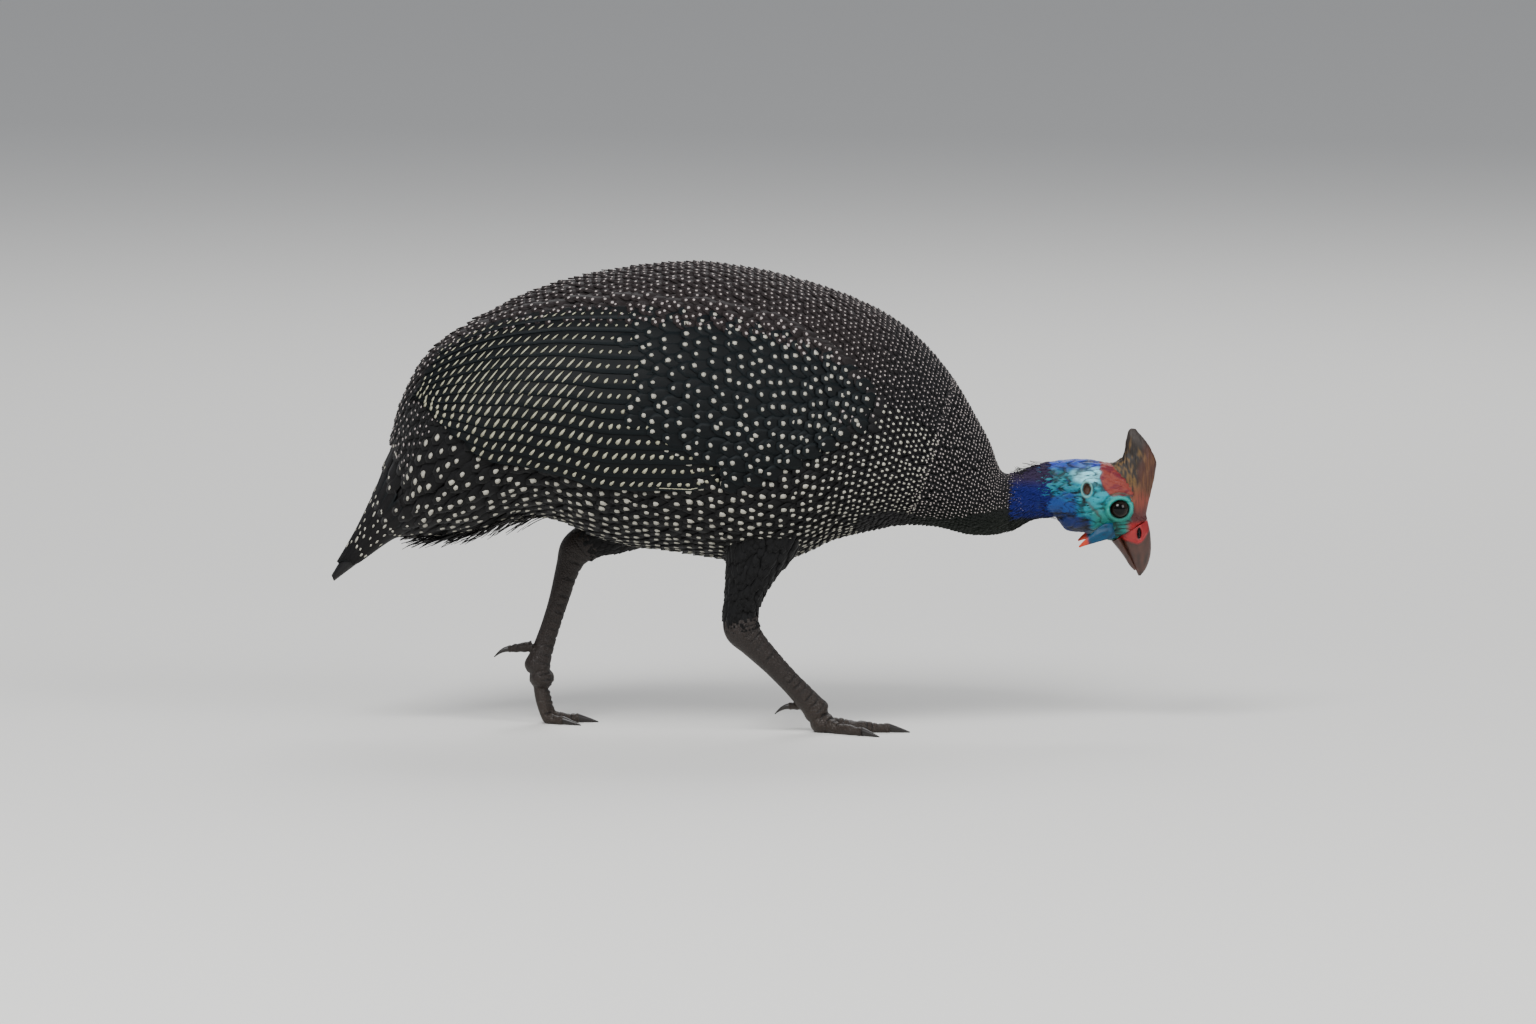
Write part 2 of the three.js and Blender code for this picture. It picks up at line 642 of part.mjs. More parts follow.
// Materials
const FINISHES = {
  plumage: { color: "#2a2829", roughness: 0.8 },
  blue_skin: { color: "#2f9fc4", roughness: 0.6 },
  casque_horn: { color: "#7a5a3c", roughness: 0.7 },
  bill_horn: { color: "#7a3a30", roughness: 0.5 },
  wattle_skin: { color: "#1f78a8", roughness: 0.6 },
  eye: { color: "#0b0a0a", roughness: 0.1 },
  leg_scale: { color: "#3a322e", roughness: 0.65 },
  claw: { color: "#2b2523", roughness: 0.5 },
};
const finishes = Object.fromEntries(
  Object.entries(FINISHES).map(([name, look]) => [
    name,
    new THREE.MeshStandardMaterial({ name, metalness: 0, ...look }),
  ]),
);

// The bird
const guineaFowl = new THREE.Group();
function addNode(name, made, finish) {
  const { numProp, vertProperties, triVerts, numVert } = made.getMesh();
  const positions = new Float32Array(numVert * 3);
  for (let i = 0; i < numVert; i++)
    positions.set(vertProperties.subarray(i * numProp, i * numProp + 3), i * 3);
  const geometry = new THREE.BufferGeometry();
  geometry.setAttribute("position", new THREE.BufferAttribute(positions, 3));
  geometry.setIndex(new THREE.BufferAttribute(triVerts, 1));
  geometry.computeVertexNormals();
  const mesh = new THREE.Mesh(geometry, finishes[finish]);
  mesh.name = name;
  guineaFowl.add(mesh);
}

addNode("torso", makeTorso(), "plumage");
addNode("tail", makeTail(), "plumage");
addNode(
  "neck_feathered",
  stretch(at("neck_root") + CUT, at("collar") - NECK_CUT, 32, 2),
  "plumage",
);
addNode("neck_bare", stretch(at("collar") + NECK_CUT, at("nape") - NECK_CUT, 28, 3), "blue_skin");
addNode("head", makeHead(), "blue_skin");
addNode("casque", makeCasque(), "casque_horn");
addNode("bill_upper", makeUpperBill(), "bill_horn");
addNode("bill_lower", makeLowerBill(), "bill_horn");
for (const [name, side] of Object.entries(SIDES)) {
  const eye = new THREE.Vector3(EYE.x, side * EYE.y, EYE.z);
  addNode(`wing_${name}`, makeWing(side), "plumage");
  addNode(`eye_${name}`, ellipsoid(eye, Array(3).fill(EYE_RADIUS), 0, 12), "eye");
  addNode(`wattle_${name}`, makeWattle(side), "wattle_skin");
  addNode(`thigh_${name}`, makeThigh(name), "plumage");
  addNode(`shank_${name}`, makeShank(name), "leg_scale");
  addNode(`foot_${name}`, makeFoot(name), "leg_scale");
  for (const toe of Object.keys(TOES))
    addNode(`claw_${name}_${toe}`, makeClaw(name, toe), "claw");
}

export default guineaFowl;
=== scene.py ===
"""A helmeted guinea fowl, walking with its head lowered to feed, dressed over its solids.

Sizes are in millimetres until a mesh is made. +X is forward, +Y the bird's left, +Z up.
"""

import logging
import math
from abc import ABC, abstractmethod
from dataclasses import dataclass, field
from enum import Enum
from typing import Callable, ClassVar

import bpy
import numpy as np
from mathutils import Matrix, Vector

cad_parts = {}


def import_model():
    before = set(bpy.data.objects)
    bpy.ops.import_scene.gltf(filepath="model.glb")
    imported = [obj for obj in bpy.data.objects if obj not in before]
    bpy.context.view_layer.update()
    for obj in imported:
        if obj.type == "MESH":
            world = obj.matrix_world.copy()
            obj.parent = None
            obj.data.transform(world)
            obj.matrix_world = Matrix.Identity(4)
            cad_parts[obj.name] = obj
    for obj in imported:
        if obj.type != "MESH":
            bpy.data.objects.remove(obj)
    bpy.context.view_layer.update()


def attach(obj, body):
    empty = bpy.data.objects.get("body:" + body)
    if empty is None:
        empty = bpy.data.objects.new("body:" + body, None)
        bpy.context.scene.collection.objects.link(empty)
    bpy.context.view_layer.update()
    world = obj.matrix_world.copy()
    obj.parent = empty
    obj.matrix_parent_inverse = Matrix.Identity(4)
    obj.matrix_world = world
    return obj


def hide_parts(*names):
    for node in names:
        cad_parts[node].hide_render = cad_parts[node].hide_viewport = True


LOG = logging.getLogger("guinea_fowl")
MM = 0.001
BODY = "root"
BAKE_MAP = "OFBake"
BAKE_PATCH = 0.003
PIGMENT = "pigment"
SIDES = {"left": 1, "right": -1}
Array = np.ndarray
Material = bpy.types.Material
# A value that changes along something: the places, and the value at each
Table = tuple[tuple[float, ...], tuple[float, ...]]
RNG = np.random.default_rng(1306)
MOTTLE_WAVES = 9
MOTTLE_GAIN = 2.2


# Colour and nodes


def linear(code: str) -> tuple[float, float, float]:
    """Turn an sRGB hex colour such as "#1f2a44" into linear red, green and blue."""
    parts = [int(code[i : i + 2], 16) / 255 for i in (1, 3, 5)]
    return tuple(p / 12.92 if p <= 0.04045 else ((p + 0.055) / 1.055) ** 2.4 for p in parts)


def mix(low: Array, high: Array, share: Array) -> Array:
    """Blend two colours, or two arrays of them, by a share for each point."""
    return low + (high - low) * share[..., None]


def smooth(value: Array, start: float, end: float) -> Array:
    """Rise smoothly from 0 at start to 1 at end."""
    t = np.clip((value - start) / (end - start), 0, 1)
    return t * t * (3 - 2 * t)


def near(x: Array, z: Array, place: tuple[float, float], size: tuple[float, float]) -> Array:
    """Give the distance from a place in the side view, 1 at an ellipse of the given size."""
    return np.hypot((x - place[0]) / size[0], (z - place[1]) / size[1])


def band(value: Array, middle: float, width: float) -> Array:
    """Rise to 1 at a middle value and fall off over a width to both sides."""
    return np.exp(-(((value - middle) / width) ** 2))


def unit(vectors: Array) -> Array:
    """Scale vectors to length 1."""
    return vectors / np.linalg.norm(vectors, axis=-1, keepdims=True)


def mottle(
    points: Array, size: float, seed: int, stretch: tuple[float, float, float] = (1, 1, 1)
) -> Array:
    """Give an uneven pattern from about -1 to 1, made of waves in scattered directions.

    Args:
        points: Where it is wanted.
        size: Rough size of its patches in millimetres.
        seed: Which pattern.
        stretch: How many times longer the patches are along x, y and z.

    Returns:
        The pattern at each point.
    """
    draw = np.random.default_rng(seed)
    total = np.zeros(points.shape[:-1])
    for _ in range(MOTTLE_WAVES):
        course = draw.normal(size=3)
        course = course / np.linalg.norm(course) / np.array(stretch)
        pace = math.pi / (size * draw.uniform(0.65, 1.5))
        total += np.sin(points @ course * pace + draw.uniform(0, 2 * math.pi))
    return total / MOTTLE_WAVES * MOTTLE_GAIN


def add_node(
    tree: bpy.types.NodeTree,
    kind: str,
    inputs: dict | None = None,
    links: dict | None = None,
    **settings,
) -> bpy.types.Node:
    """Add one shader node with its settings, its input values and its incoming links.

    Args:
        tree: The node tree that takes the node.
        kind: The node's type, such as "ShaderNodeTexNoise".
        inputs: Input socket to value.
        links: Input socket to the output socket that feeds it.
        **settings: Properties of the node itself.

    Returns:
        The new node.
    """
    node = tree.nodes.new(kind)
    for name, value in settings.items():
        setattr(node, name, value)
    for socket, value in (inputs or {}).items():
        node.inputs[socket].default_value = value
    for socket, source in (links or {}).items():
        tree.links.new(source, node.inputs[socket])
    return node


# Finishes


# Width of the seam round a small scale, as a share of the scale
SEAM_SHARE = 0.16


@dataclass(frozen=True)
class Finish:
    """What one surface is made of, painted by the pigment that each point carries."""

    name: str
    roughness: float
    specular: float = 0.5
    ior: float = 1.5
    grain_mm: float = 1.0
    grain_depth_mm: float = 0.05
    grain_stretch: tuple[float, float, float] = (1.0, 1.0, 1.0)
    mottle: float = 0.1
    sheen: float = 0.0
    subsurface: float = 0.0
    subsurface_mm: float = 1.2
    cells: bool = False

    def build(self) -> Material:
        """Make the material.

        Returns:
            A material whose colour is the pigment, mottled, with its grain as bump.
        """
        material = bpy.data.materials.new(self.name)
        material.use_nodes = True
        tree = material.node_tree
        shader = tree.nodes["Principled BSDF"]
        place = add_node(tree, "ShaderNodeTexCoord")
        stretched = add_node(
            tree,
            "ShaderNodeMapping",
            inputs={"Scale": self.grain_stretch},
            links={"Vector": place.outputs["Object"]},
        )
        pigment = add_node(tree, "ShaderNodeVertexColor", layer_name=PIGMENT)
        grain = self._grain(tree, stretched)
        shade = add_node(
            tree,
            "ShaderNodeMapRange",
            inputs={"To Min": 1 - self.mottle, "To Max": 1 + self.mottle},
            links={"Value": grain},
        )
        mottled = add_node(
            tree,
            "ShaderNodeVectorMath",
            operation="SCALE",
            links={0: pigment.outputs["Color"], "Scale": shade.outputs["Result"]},
        )
        tree.links.new(mottled.outputs["Vector"], shader.inputs["Base Color"])
        bump = add_node(
            tree,
            "ShaderNodeBump",
            inputs={"Distance": self.grain_depth_mm * MM, "Strength": 1.0},
            links={"Height": grain},
        )
        tree.links.new(bump.outputs["Normal"], shader.inputs["Normal"])
        shader.inputs["Roughness"].default_value = self.roughness
        shader.inputs["IOR"].default_value = self.ior
        shader.inputs["Specular IOR Level"].default_value = self.specular
        shader.inputs["Sheen Weight"].default_value = self.sheen
        shader.inputs["Subsurface Weight"].default_value = self.subsurface
        shader.inputs["Subsurface Scale"].default_value = self.subsurface_mm * MM
        return material

    def _grain(
        self, tree: bpy.types.NodeTree, stretched: bpy.types.Node
    ) -> bpy.types.NodeSocket:
        """Add the grain's texture: cells such as small scales, or a fine noise.

        Args:
            tree: The material's node tree.
            stretched: The node whose vector is stretched along the grain.

        Returns:
            The socket that carries the grain from 0 to 1.
        """
        scale = 1 / (self.grain_mm * MM)
        feed = {"Vector": stretched.outputs["Vector"]}
        if self.cells:
            cell = add_node(
                tree,
                "ShaderNodeTexVoronoi",
                inputs={"Scale": scale},
                links=feed,
                feature="DISTANCE_TO_EDGE",
            )
            flat = add_node(
                tree,
                "ShaderNodeMapRange",
                inputs={"From Max": SEAM_SHARE},
                links={"Value": cell.outputs["Distance"]},
            )
            return flat.outputs["Result"]
        noise = add_node(
            tree, "ShaderNodeTexNoise", inputs={"Scale": scale, "Detail": 3.0}, links=feed
        )
        return noise.outputs["Fac"]


# Feather keratin with dark pigment: barbs run side by side, so it is satin, with a faint sheen
# at its edges, and never shines like lacquer. Barbs are 0.3 to 0.5 mm apart, and the grain is
# drawn at 0.7 mm so that it shows.
CONTOUR_FEATHER = Finish(
    "contour_feather_keratin", 0.66, specular=0.16, ior=1.55, grain_mm=0.7, mottle=0.28,
    sheen=0.03,
)
# Flight feathers are stiffer and smoother, which gives the folded wing its tighter light.
FLIGHT_FEATHER = Finish(
    "flight_feather_keratin", 0.6, specular=0.14, ior=1.55, grain_mm=0.8, mottle=0.2,
    grain_stretch=(0.25, 1.0, 1.0),
)
# Barbs without pigment scatter light and look chalky. Their grain is drawn coarser as well.
WHITE_BARBS = Finish("unpigmented_barbs", 0.7, specular=0.3, ior=1.55, grain_mm=0.9, mottle=0.1)
# Bare living skin: fine pebbles and creases, slightly moist, with light that sinks in.
BARE_SKIN = Finish(
    "bare_skin", 0.5, specular=0.45, ior=1.4, grain_mm=1.0, grain_depth_mm=0.22, mottle=0.16,
    subsurface=0.08,
)
# Casque horn grows in rough layers and is worn dull.
CASQUE_HORN = Finish(
    "casque_horn", 0.62, specular=0.4, ior=1.54, grain_mm=2.0, grain_depth_mm=0.4, mottle=0.3,
    grain_stretch=(1.0, 1.0, 0.4),
)
# Bill horn is polished by feeding, so it is smoother than the casque.
BILL_HORN = Finish(
    "bill_horn", 0.4, specular=0.5, ior=1.54, grain_mm=1.4, grain_depth_mm=0.06, mottle=0.16
)
# Leg skin is covered with small dry scales of 1.7 mm, and dark seams run between them.
LEG_SCALE = Finish(
    "leg_scale", 0.5, specular=0.4, ior=1.5, grain_mm=1.7, grain_depth_mm=0.2, mottle=0.22,
    cells=True,
)
# Claw horn is worn by scratching, which leaves it smooth with a dull polish.
CLAW_HORN = Finish("claw_horn", 0.38, ior=1.54, grain_mm=1.0, grain_depth_mm=0.03, mottle=0.12)
# The wet surface of the eye is a clear hard gloss over a nearly black iris.
WET_EYE = Finish(
    "wet_eye", 0.04, specular=0.35, ior=1.376, grain_mm=0.6, grain_depth_mm=0.0, mottle=0.08,
)


class Hue(Enum):
    """Pigments of the bird, as sRGB hex."""

    BACK = "#1f1919"
    NECK = "#131214"
    UNDER_NECK = "#0d130d"
    FLANK = "#0d0d0e"
    BELLY = "#0a0a0b"
    WING = "#090d0f"
    WING_EDGE = "#181f22"
    TAIL = "#100f10"
    COLLAR = "#0a145c"
    COLLAR_TOP = "#2a1f3a"
    VIOLET = "#2a2fa6"
    CYAN = "#0a6f88"
    DEEP_BLUE = "#063078"
    PALE_CYAN = "#8ad8e6"
    NAVY = "#051c52"
    TURQUOISE = "#136b5e"
    FACE = "#128f9e"
    LID = "#26988e"
    EAR = "#4a3328"
    EAR_RIM = "#6fa39d"
    SALMON = "#7e342a"
    SALMON_EDGE = "#661a26"
    LORE = "#4a2021"
    HORN = "#5f4620"
    HORN_RED = "#52291b"
    HORN_DARK = "#1c140e"
    HORN_TIP = "#352e2a"
    CERE = "#8c1014"
    BILL = "#47291f"
    WATTLE = "#053c5a"
    WATTLE_TIP = "#b8361c"
    LEG = "#201814"
    LEG_PALE = "#31271f"
    CLAW = "#1a1512"
    IRIS = "#1d1510"
    WHITE_SPOT = "#b5b2a5"
    BACK_SPOT = "#aaa09d"
    DASH = "#aba991"
    BLACK = "#060607"

    @property
    def rgb(self) -> Array:
        """The linear colour as an array."""
        return np.array(linear(self.value))


# Surfaces


# Steps in stations and in degrees over which a surface's directions are measured
NORMAL_STEP = 0.02
SLANT_STEP = 0.05
PACE_STEP = 0.1
DEGREE_STEP = 0.5
# The least length of a station and of a degree, which keeps feathers whole at narrow places
LEAST_STATION_MM = 2.0
LEAST_DEGREE_MM = 0.08


def padded(table: Array) -> Array:
    """Turn a table into an array, with a row added past each end in line with its last two."""
    table = np.asarray(table, dtype=float)
    return np.vstack([2 * table[0] - table[1], table, 2 * table[-1] - table[-2]])


def spline(table: Array, at: Array) -> tuple[Array, Array]:
    """Interpolate a padded table smoothly between its rows.

    Args:
        table: The padded table.
        at: Which rows are wanted, counted without the padding, and with fractions.

    Returns:
        The rows, and how fast they change from one row to the next.
    """
    last = len(table) - 3
    at = np.clip(at, 0, last)
    index = np.minimum(at.astype(int), last - 1)
    t = (at - index)[..., None]
    p0, p1, p2, p3 = (table[index + k] for k in range(4))
    m1, m2 = (p2 - p0) / 2, (p3 - p1) / 2
    a = 3 * (p2 - p1) - 2 * m1 - m2
    b = 2 * (p1 - p2) + m1 + m2
    return p1 + m1 * t + a * t**2 + b * t**3, m1 + 2 * a * t + 3 * b * t**2


def resample(table: Array, count: int) -> Array:
    """Interpolate a table of rows smoothly to more rows."""
    return spline(padded(table), np.linspace(0, len(table) - 1, count))[0]


class Surface(ABC):
    """A surface addressed by a station along it and an angle round it.

    Angles are in degrees, from the top towards the left side. last is the last station, and
    corner and span are where its bake map begins and how far it runs.
    """

    last: int
    corner: tuple[float, float]
    span: tuple[float, float]

    @abstractmethod
    def point(self, station: Array, angle: Array, rise: Array | float = 0.0) -> Array:
        """Give points, lifted off the surface by rise."""

    @abstractmethod
    def degree_mm(self, station: Array) -> Array:
        """Give the length of one degree round the surface."""

    @abstractmethod
    def station_mm(self, station: Array, angle: Array) -> Array:
        """Give the length of one station along the surface."""

    def unwrap(self, station: Array, angle: Array) -> tuple[Array, Array]:
        """Give each point's place on the surface's own unwrap."""
        across = self.corner[0] + self.span[0] * np.asarray(station) / self.last
        return across, self.corner[1] + self.span[1] * (np.asarray(angle) % 360) / 360


@dataclass
class BodySurface(Surface):
    """The outer shape from the tail's tip to the root of the bill, ring by ring.

    Each ring gives x and z of its top, x and z of its bottom, and its half width. egg is how much
    wider than an ellipse the body's rings are in their lower half.
    """

    corner: tuple[float, float] = (0.01, 0.02)
    span: tuple[float, float] = (0.78, 0.96)
    egg: float = 0.1
    rings: dict[str, tuple[float, ...]] = field(
        default_factory=lambda: {
            "tail_tip": (-256.8, 94.4, -254.4, 90.6, 4),
            "tail_end": (-242.7, 119.1, -236.5, 103.5, 9),
            "tail_late": (-234.1, 137.2, -221.7, 113.5, 19),
            "tail_mid": (-226.6, 155.2, -209.9, 117.8, 30),
            "tail_root": (-220.4, 175.8, -195.6, 119.1, 41),
            "rump_low": (-211.7, 207.0, -180.7, 120.3, 52),
            "rump": (-195.6, 233.8, -163.4, 122.8, 62),
            "hip": (-169.6, 253.1, -146.0, 127.8, 70),
            "loin": (-132.4, 272.4, -120.0, 130.9, 76),
            "back_rear": (-89.0, 284.9, -82.8, 116.6, 80),
            "back_top": (-33.2, 291.1, -33.2, 108.5, 83),
            "shoulder": (13.3, 285.5, 7.1, 102.9, 83),
            "breast": (53.6, 274.3, 33.2, 107.2, 79),
            "breast_front": (87.7, 259.3, 54.9, 117.2, 72),
            "neck_base": (112.5, 240.0, 77.2, 122.8, 63),
            "neck_root": (131.1, 216.9, 98.9, 126.6, 52),
            "neck_1": (143.5, 195.8, 120.6, 125.3, 42),
            "neck_2": (152.8, 178.3, 137.9, 120.9, 32),
            "neck_3": (159.7, 160.8, 154.1, 120.3, 23),
            "neck_4": (168.3, 159.0, 166.5, 123.4, 17),
            "collar": (178.9, 162.7, 180.1, 130.3, 14.5),
            "throat": (191.3, 166.5, 192.5, 130.9, 13.5),
            "nape": (204.9, 167.7, 201.8, 125.3, 14),
            "ear": (218.6, 167.1, 210.5, 122.8, 15.5),
            "crown": (231.6, 163.3, 218.6, 120.3, 16),
            "brow": (241.5, 154.6, 222.9, 118.4, 15),
            "lore": (247.1, 142.1, 226.0, 117.2, 12.5),
            "bill_root": (250.5, 130.3, 227.8, 116.9, 9.5),
        }
    )

    def __post_init__(self) -> None:
        """Keep the ring table as an array, with a ring added past each end."""
        self.table = padded(list(self.rings.values()))
        self.last = len(self.rings) - 1

    def at(self, name: str) -> int:
        """Give the station of a named ring."""
        return list(self.rings).index(name)

    def _ring(self, station: Array) -> Array:
        """Interpolate the ring table at each station."""
        return spline(self.table, station)[0]

    def _flush(self, station: Array, angle: Array) -> Array:
        """Give points on the surface itself.

        Args:
            station: Station of each point.
            angle: Angle of each.

        Returns:
            The points.
        """
        station, angle = np.broadcast_arrays(np.asarray(station, float), angle)
        ring = self._ring(station)
        turn = np.radians(angle)
        egg = self.egg * smooth(self.at("neck_2") - station, 0, 4)
        up = np.cos(turn)
        x = (ring[..., 0] + ring[..., 2]) / 2 + (ring[..., 0] - ring[..., 2]) / 2 * up
        z = (ring[..., 1] + ring[..., 3]) / 2 + (ring[..., 1] - ring[..., 3]) / 2 * up
        y = ring[..., 4] * np.sin(turn) * (1 - egg * up)
        return np.stack([x, y, z], axis=-1)

    def _both_sides(self, station: Array, step: float) -> tuple[Array, Array]:
        """Give the stations one step before and after each, kept on the surface."""
        station = np.asarray(station, float)
        return np.clip(station - step, 0, self.last), np.clip(station + step, 0, self.last)

    def normal(self, station: Array, angle: Array) -> Array:
        """Give the outward direction at each point.

        Args:
            station: Station of each point.
            angle: Angle of each.

        Returns:
            Unit vectors.
        """
        low, high = self._both_sides(station, NORMAL_STEP)
        along = self._flush(high, angle) - self._flush(low, angle)
        ahead = self._flush(station, angle + DEGREE_STEP)
        around = ahead - self._flush(station, angle - DEGREE_STEP)
        out = np.cross(along, around)
        return unit(out)

    def point(self, station: Array, angle: Array, rise: Array | float = 0.0) -> Array:
        """Give points, lifted off the surface by rise."""
        lift = np.broadcast_to(rise, np.broadcast(station, angle).shape)[..., None]
        return self._flush(station, angle) + self.normal(station, angle) * lift

    def degree_mm(self, station: Array) -> Array:
        """Give the length of one degree round the surface.

        Args:
            station: Station of each point.

        Returns:
            Millimetres, with the ring as a circle.
        """
        ring = self._ring(np.asarray(station, float))
        tall = np.hypot(ring[..., 0] - ring[..., 2], ring[..., 1] - ring[..., 3]) / 2
        return np.radians((tall + ring[..., 4]) / 2)

    def station_mm(self, station: Array, angle: Array) -> Array:
        """Give the length of one station along the surface.

        Args:
            station: Station of each point.
            angle: Angle of each.

        Returns:
            Millimetres.
        """
        low, high = self._both_sides(station, PACE_STEP)
        gap = self._flush(high, angle) - self._flush(low, angle)
        return np.maximum(np.linalg.norm(gap, axis=-1) / (high - low), LEAST_STATION_MM)


@dataclass
class LimbSurface(Surface):
    """A leg's outer shape: stops of x, y, z, half depth and half width.

    With turned_at, stations count down from that station.
    """

    stops: tuple[tuple[float, ...], ...]
    corner: tuple[float, float] = (0.82, 0.02)
    span: tuple[float, float] = (0.16, 0.4)
    turned_at: float | None = None

    def __post_init__(self) -> None:
        """Keep the stops as an array, with one added past each end."""
        self.table = padded(self.stops)
        self.last = len(self.stops) - 1

    def _counted(self, station: Array) -> Array:
        """Count stations from the other end where turned_at asks for it."""
        return station if self.turned_at is None else np.maximum(self.turned_at - station, 0)

    def _stop(self, station: Array) -> tuple[Array, Array]:
        """Interpolate the stops and their direction at each station."""
        stop, slope = spline(self.table, self._counted(station))
        return stop, slope[..., :3]

    def point(self, station: Array, angle: Array, rise: Array | float = 0.0) -> Array:
        """Give points, lifted off the surface by rise.

        Args:
            station: Station of each point.
            angle: Angle of each.
            rise: Millimetres off the surface.

        Returns:
            The points.
        """
        station, angle = np.broadcast_arrays(np.asarray(station, float), angle)
        stop, slope = self._stop(station)
        along = unit(slope)
        side = np.zeros_like(along)
        side[..., 1] = 1
        side = unit(side - along * along[..., 1:2])
        deep = np.cross(along, side)
        turn = np.radians(angle)
        depth = (np.cos(turn) * (stop[..., 3] + rise))[..., None]
        width = (np.sin(turn) * (stop[..., 4] + rise))[..., None]
        return stop[..., :3] + deep * depth + side * width

    def degree_mm(self, station: Array) -> Array:
        """Give the length of one degree round the surface."""
        stop, _ = self._stop(np.asarray(station, float))
        return np.radians((stop[..., 3] + stop[..., 4]) / 2)

    def station_mm(self, station: Array, angle: Array) -> Array:
        """Give the length of one station along the surface."""
        _, slope = self._stop(np.asarray(station, float))
        return np.maximum(np.linalg.norm(slope, axis=-1), LEAST_STATION_MM)

    def unwrap(self, station: Array, angle: Array) -> tuple[Array, Array]:
        """Give each point's place on the surface's own unwrap."""
        return super().unwrap(self._counted(station), angle)


def slant_towards(
    surface: Surface, station: Array, angle: Array, course: Array | tuple[float, float, float]
) -> Array:
    """Give the turn from the stations' direction, on a surface, that follows a course.

    Args:
        surface: The surface.
        station: Station of each point.
        angle: Angle of each point.
        course: The wanted direction, the same for all or one for each point.

    Returns:
        Degrees for each point.
    """
    here = surface.point(station, angle)
    along = unit(surface.point(station + SLANT_STEP, angle) - here)
    around = unit(surface.point(station, angle + DEGREE_STEP) - here)
    course = np.asarray(course)
    return np.degrees(np.arctan2((around * course).sum(-1), (along * course).sum(-1)))


# Meshes


def store_pigment(mesh: bpy.types.Mesh, pigment: Array) -> None:
    """Store a pigment for each point in the mesh.

    Args:
        mesh: The mesh.
        pigment: Linear colours, one row for each point.
    """
    colour = np.ones((len(pigment), 4), np.float32)
    colour[:, :3] = pigment
    layer = mesh.color_attributes.new(PIGMENT, "FLOAT_COLOR", "POINT")
    layer.data.foreach_set("color", colour.ravel())


def vertex_rows(mesh: bpy.types.Mesh, name: str) -> Array:
    """Read three numbers of each vertex.

    Args:
        mesh: The mesh.
        name: Which property, such as "co".

    Returns:
        One row for each vertex.
    """
    rows = np.empty(len(mesh.vertices) * 3, np.float32)
    mesh.vertices.foreach_get(name, rows)
    return rows.reshape(-1, 3).astype(float)


@dataclass
class Piece:
    """Vertices, faces, pigment and bake map of one object that is being made."""

    points: Array
    faces: Array
    pigment: Array
    bake: Array | None = None

    def build(
        self, name: str, finish: Material, slot: str, *nodes: str
    ) -> bpy.types.Object:
        """Make the object.

        Args:
            name: The object's name.
            finish: Its material.
            slot: Not used.
            *nodes: The solids that it replaces.

        Returns:
            The object, riding on the body.
        """
        mesh = bpy.data.meshes.new(name)
        sizes = np.full(len(self.faces), self.faces.shape[1])
        mesh.vertices.add(len(self.points))
        mesh.vertices.foreach_set("co", (self.points * MM).astype(np.float32).ravel())
        mesh.loops.add(self.faces.size)
        mesh.loops.foreach_set("vertex_index", self.faces.astype(np.int32).ravel())
        mesh.polygons.add(len(self.faces))
        starts = np.concatenate([[0], np.cumsum(sizes)[:-1]])
        mesh.polygons.foreach_set("loop_start", starts.astype(np.int32))
        mesh.polygons.foreach_set("use_smooth", np.ones(len(self.faces), bool))
        mesh.update(calc_edges=True)
        store_pigment(mesh, self.pigment)
        if self.bake is not None:
            bake = mesh.uv_layers.new(name=BAKE_MAP)
            bake.data.foreach_set("uv", self.bake[self.faces.ravel()].astype(np.float32).ravel())
        mesh.materials.append(finish)
        made = bpy.data.objects.new(name, mesh)
        bpy.context.scene.collection.objects.link(made)
        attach(made, BODY)
        if nodes:
            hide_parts(*nodes)
        return made


def join(pieces: list[Piece]) -> Piece:
    """Put several pieces of like faces into one.

    Args:
        pieces: The pieces.

    Returns:
        One piece, with a bake map where all have one.
    """
    shifts = np.cumsum([0] + [len(p.points) for p in pieces[:-1]])
    bake = None
    if all(p.bake is not None for p in pieces):
        bake = np.concatenate([p.bake for p in pieces])
    return Piece(
        np.concatenate([p.points for p in pieces]),
        np.concatenate([p.faces + shift for p, shift in zip(pieces, shifts)]),
        np.concatenate([p.pigment for p in pieces]),
        bake,
    )


def tube_faces(rings: int, around: int) -> Array:
    """Give the quads of a tube of rings, facing out when rings run forward, and its caps.

    Args:
        rings: How many rings.
        around: Points in a ring. Two points follow the rings, the middles of the caps.

    Returns:
        Quads, those of the caps folded to triangles.
    """
    ring, spoke = np.meshgrid(np.arange(rings - 1), np.arange(around), indexing="ij")
    a = ring * around + spoke
    b = ring * around + (spoke + 1) % around
    sides = np.stack([a, b, b + around, a + around], axis=-1).reshape(-1, 4)
    spoke = np.arange(0, around, 2)
    first, last = rings * around, rings * around + 1
    top = (rings - 1) * around
    one, two = (spoke + 1) % around, (spoke + 2) % around
    low = np.stack([np.full_like(spoke, first), two, one, spoke], axis=-1)
    high = np.stack([np.full_like(spoke, last), top + spoke, top + one, top + two], axis=-1)
    return np.concatenate([sides, low, high])


def tube(rings: Array) -> tuple[Array, Array]:
    """Close a stack of rings of points with a middle point at each end.

    Args:
        rings: Points of shape (rings, points in a ring, 3).

    Returns:
        Points and faces.
    """
    count, around, _ = rings.shape
    ends = np.stack([rings[0].mean(axis=0), rings[-1].mean(axis=0)])
    return np.concatenate([rings.reshape(-1, 3), ends]), tube_faces(count, around)


def tube_bake(surface: Surface, station: Array, angle: Array) -> Array:
    """Give the bake map of a tube's points and of the two middles that close it."""
    bake = np.stack(surface.unwrap(station, angle), axis=-1).reshape(-1, 2)
    return np.concatenate([bake, bake[:1], bake[-1:]])


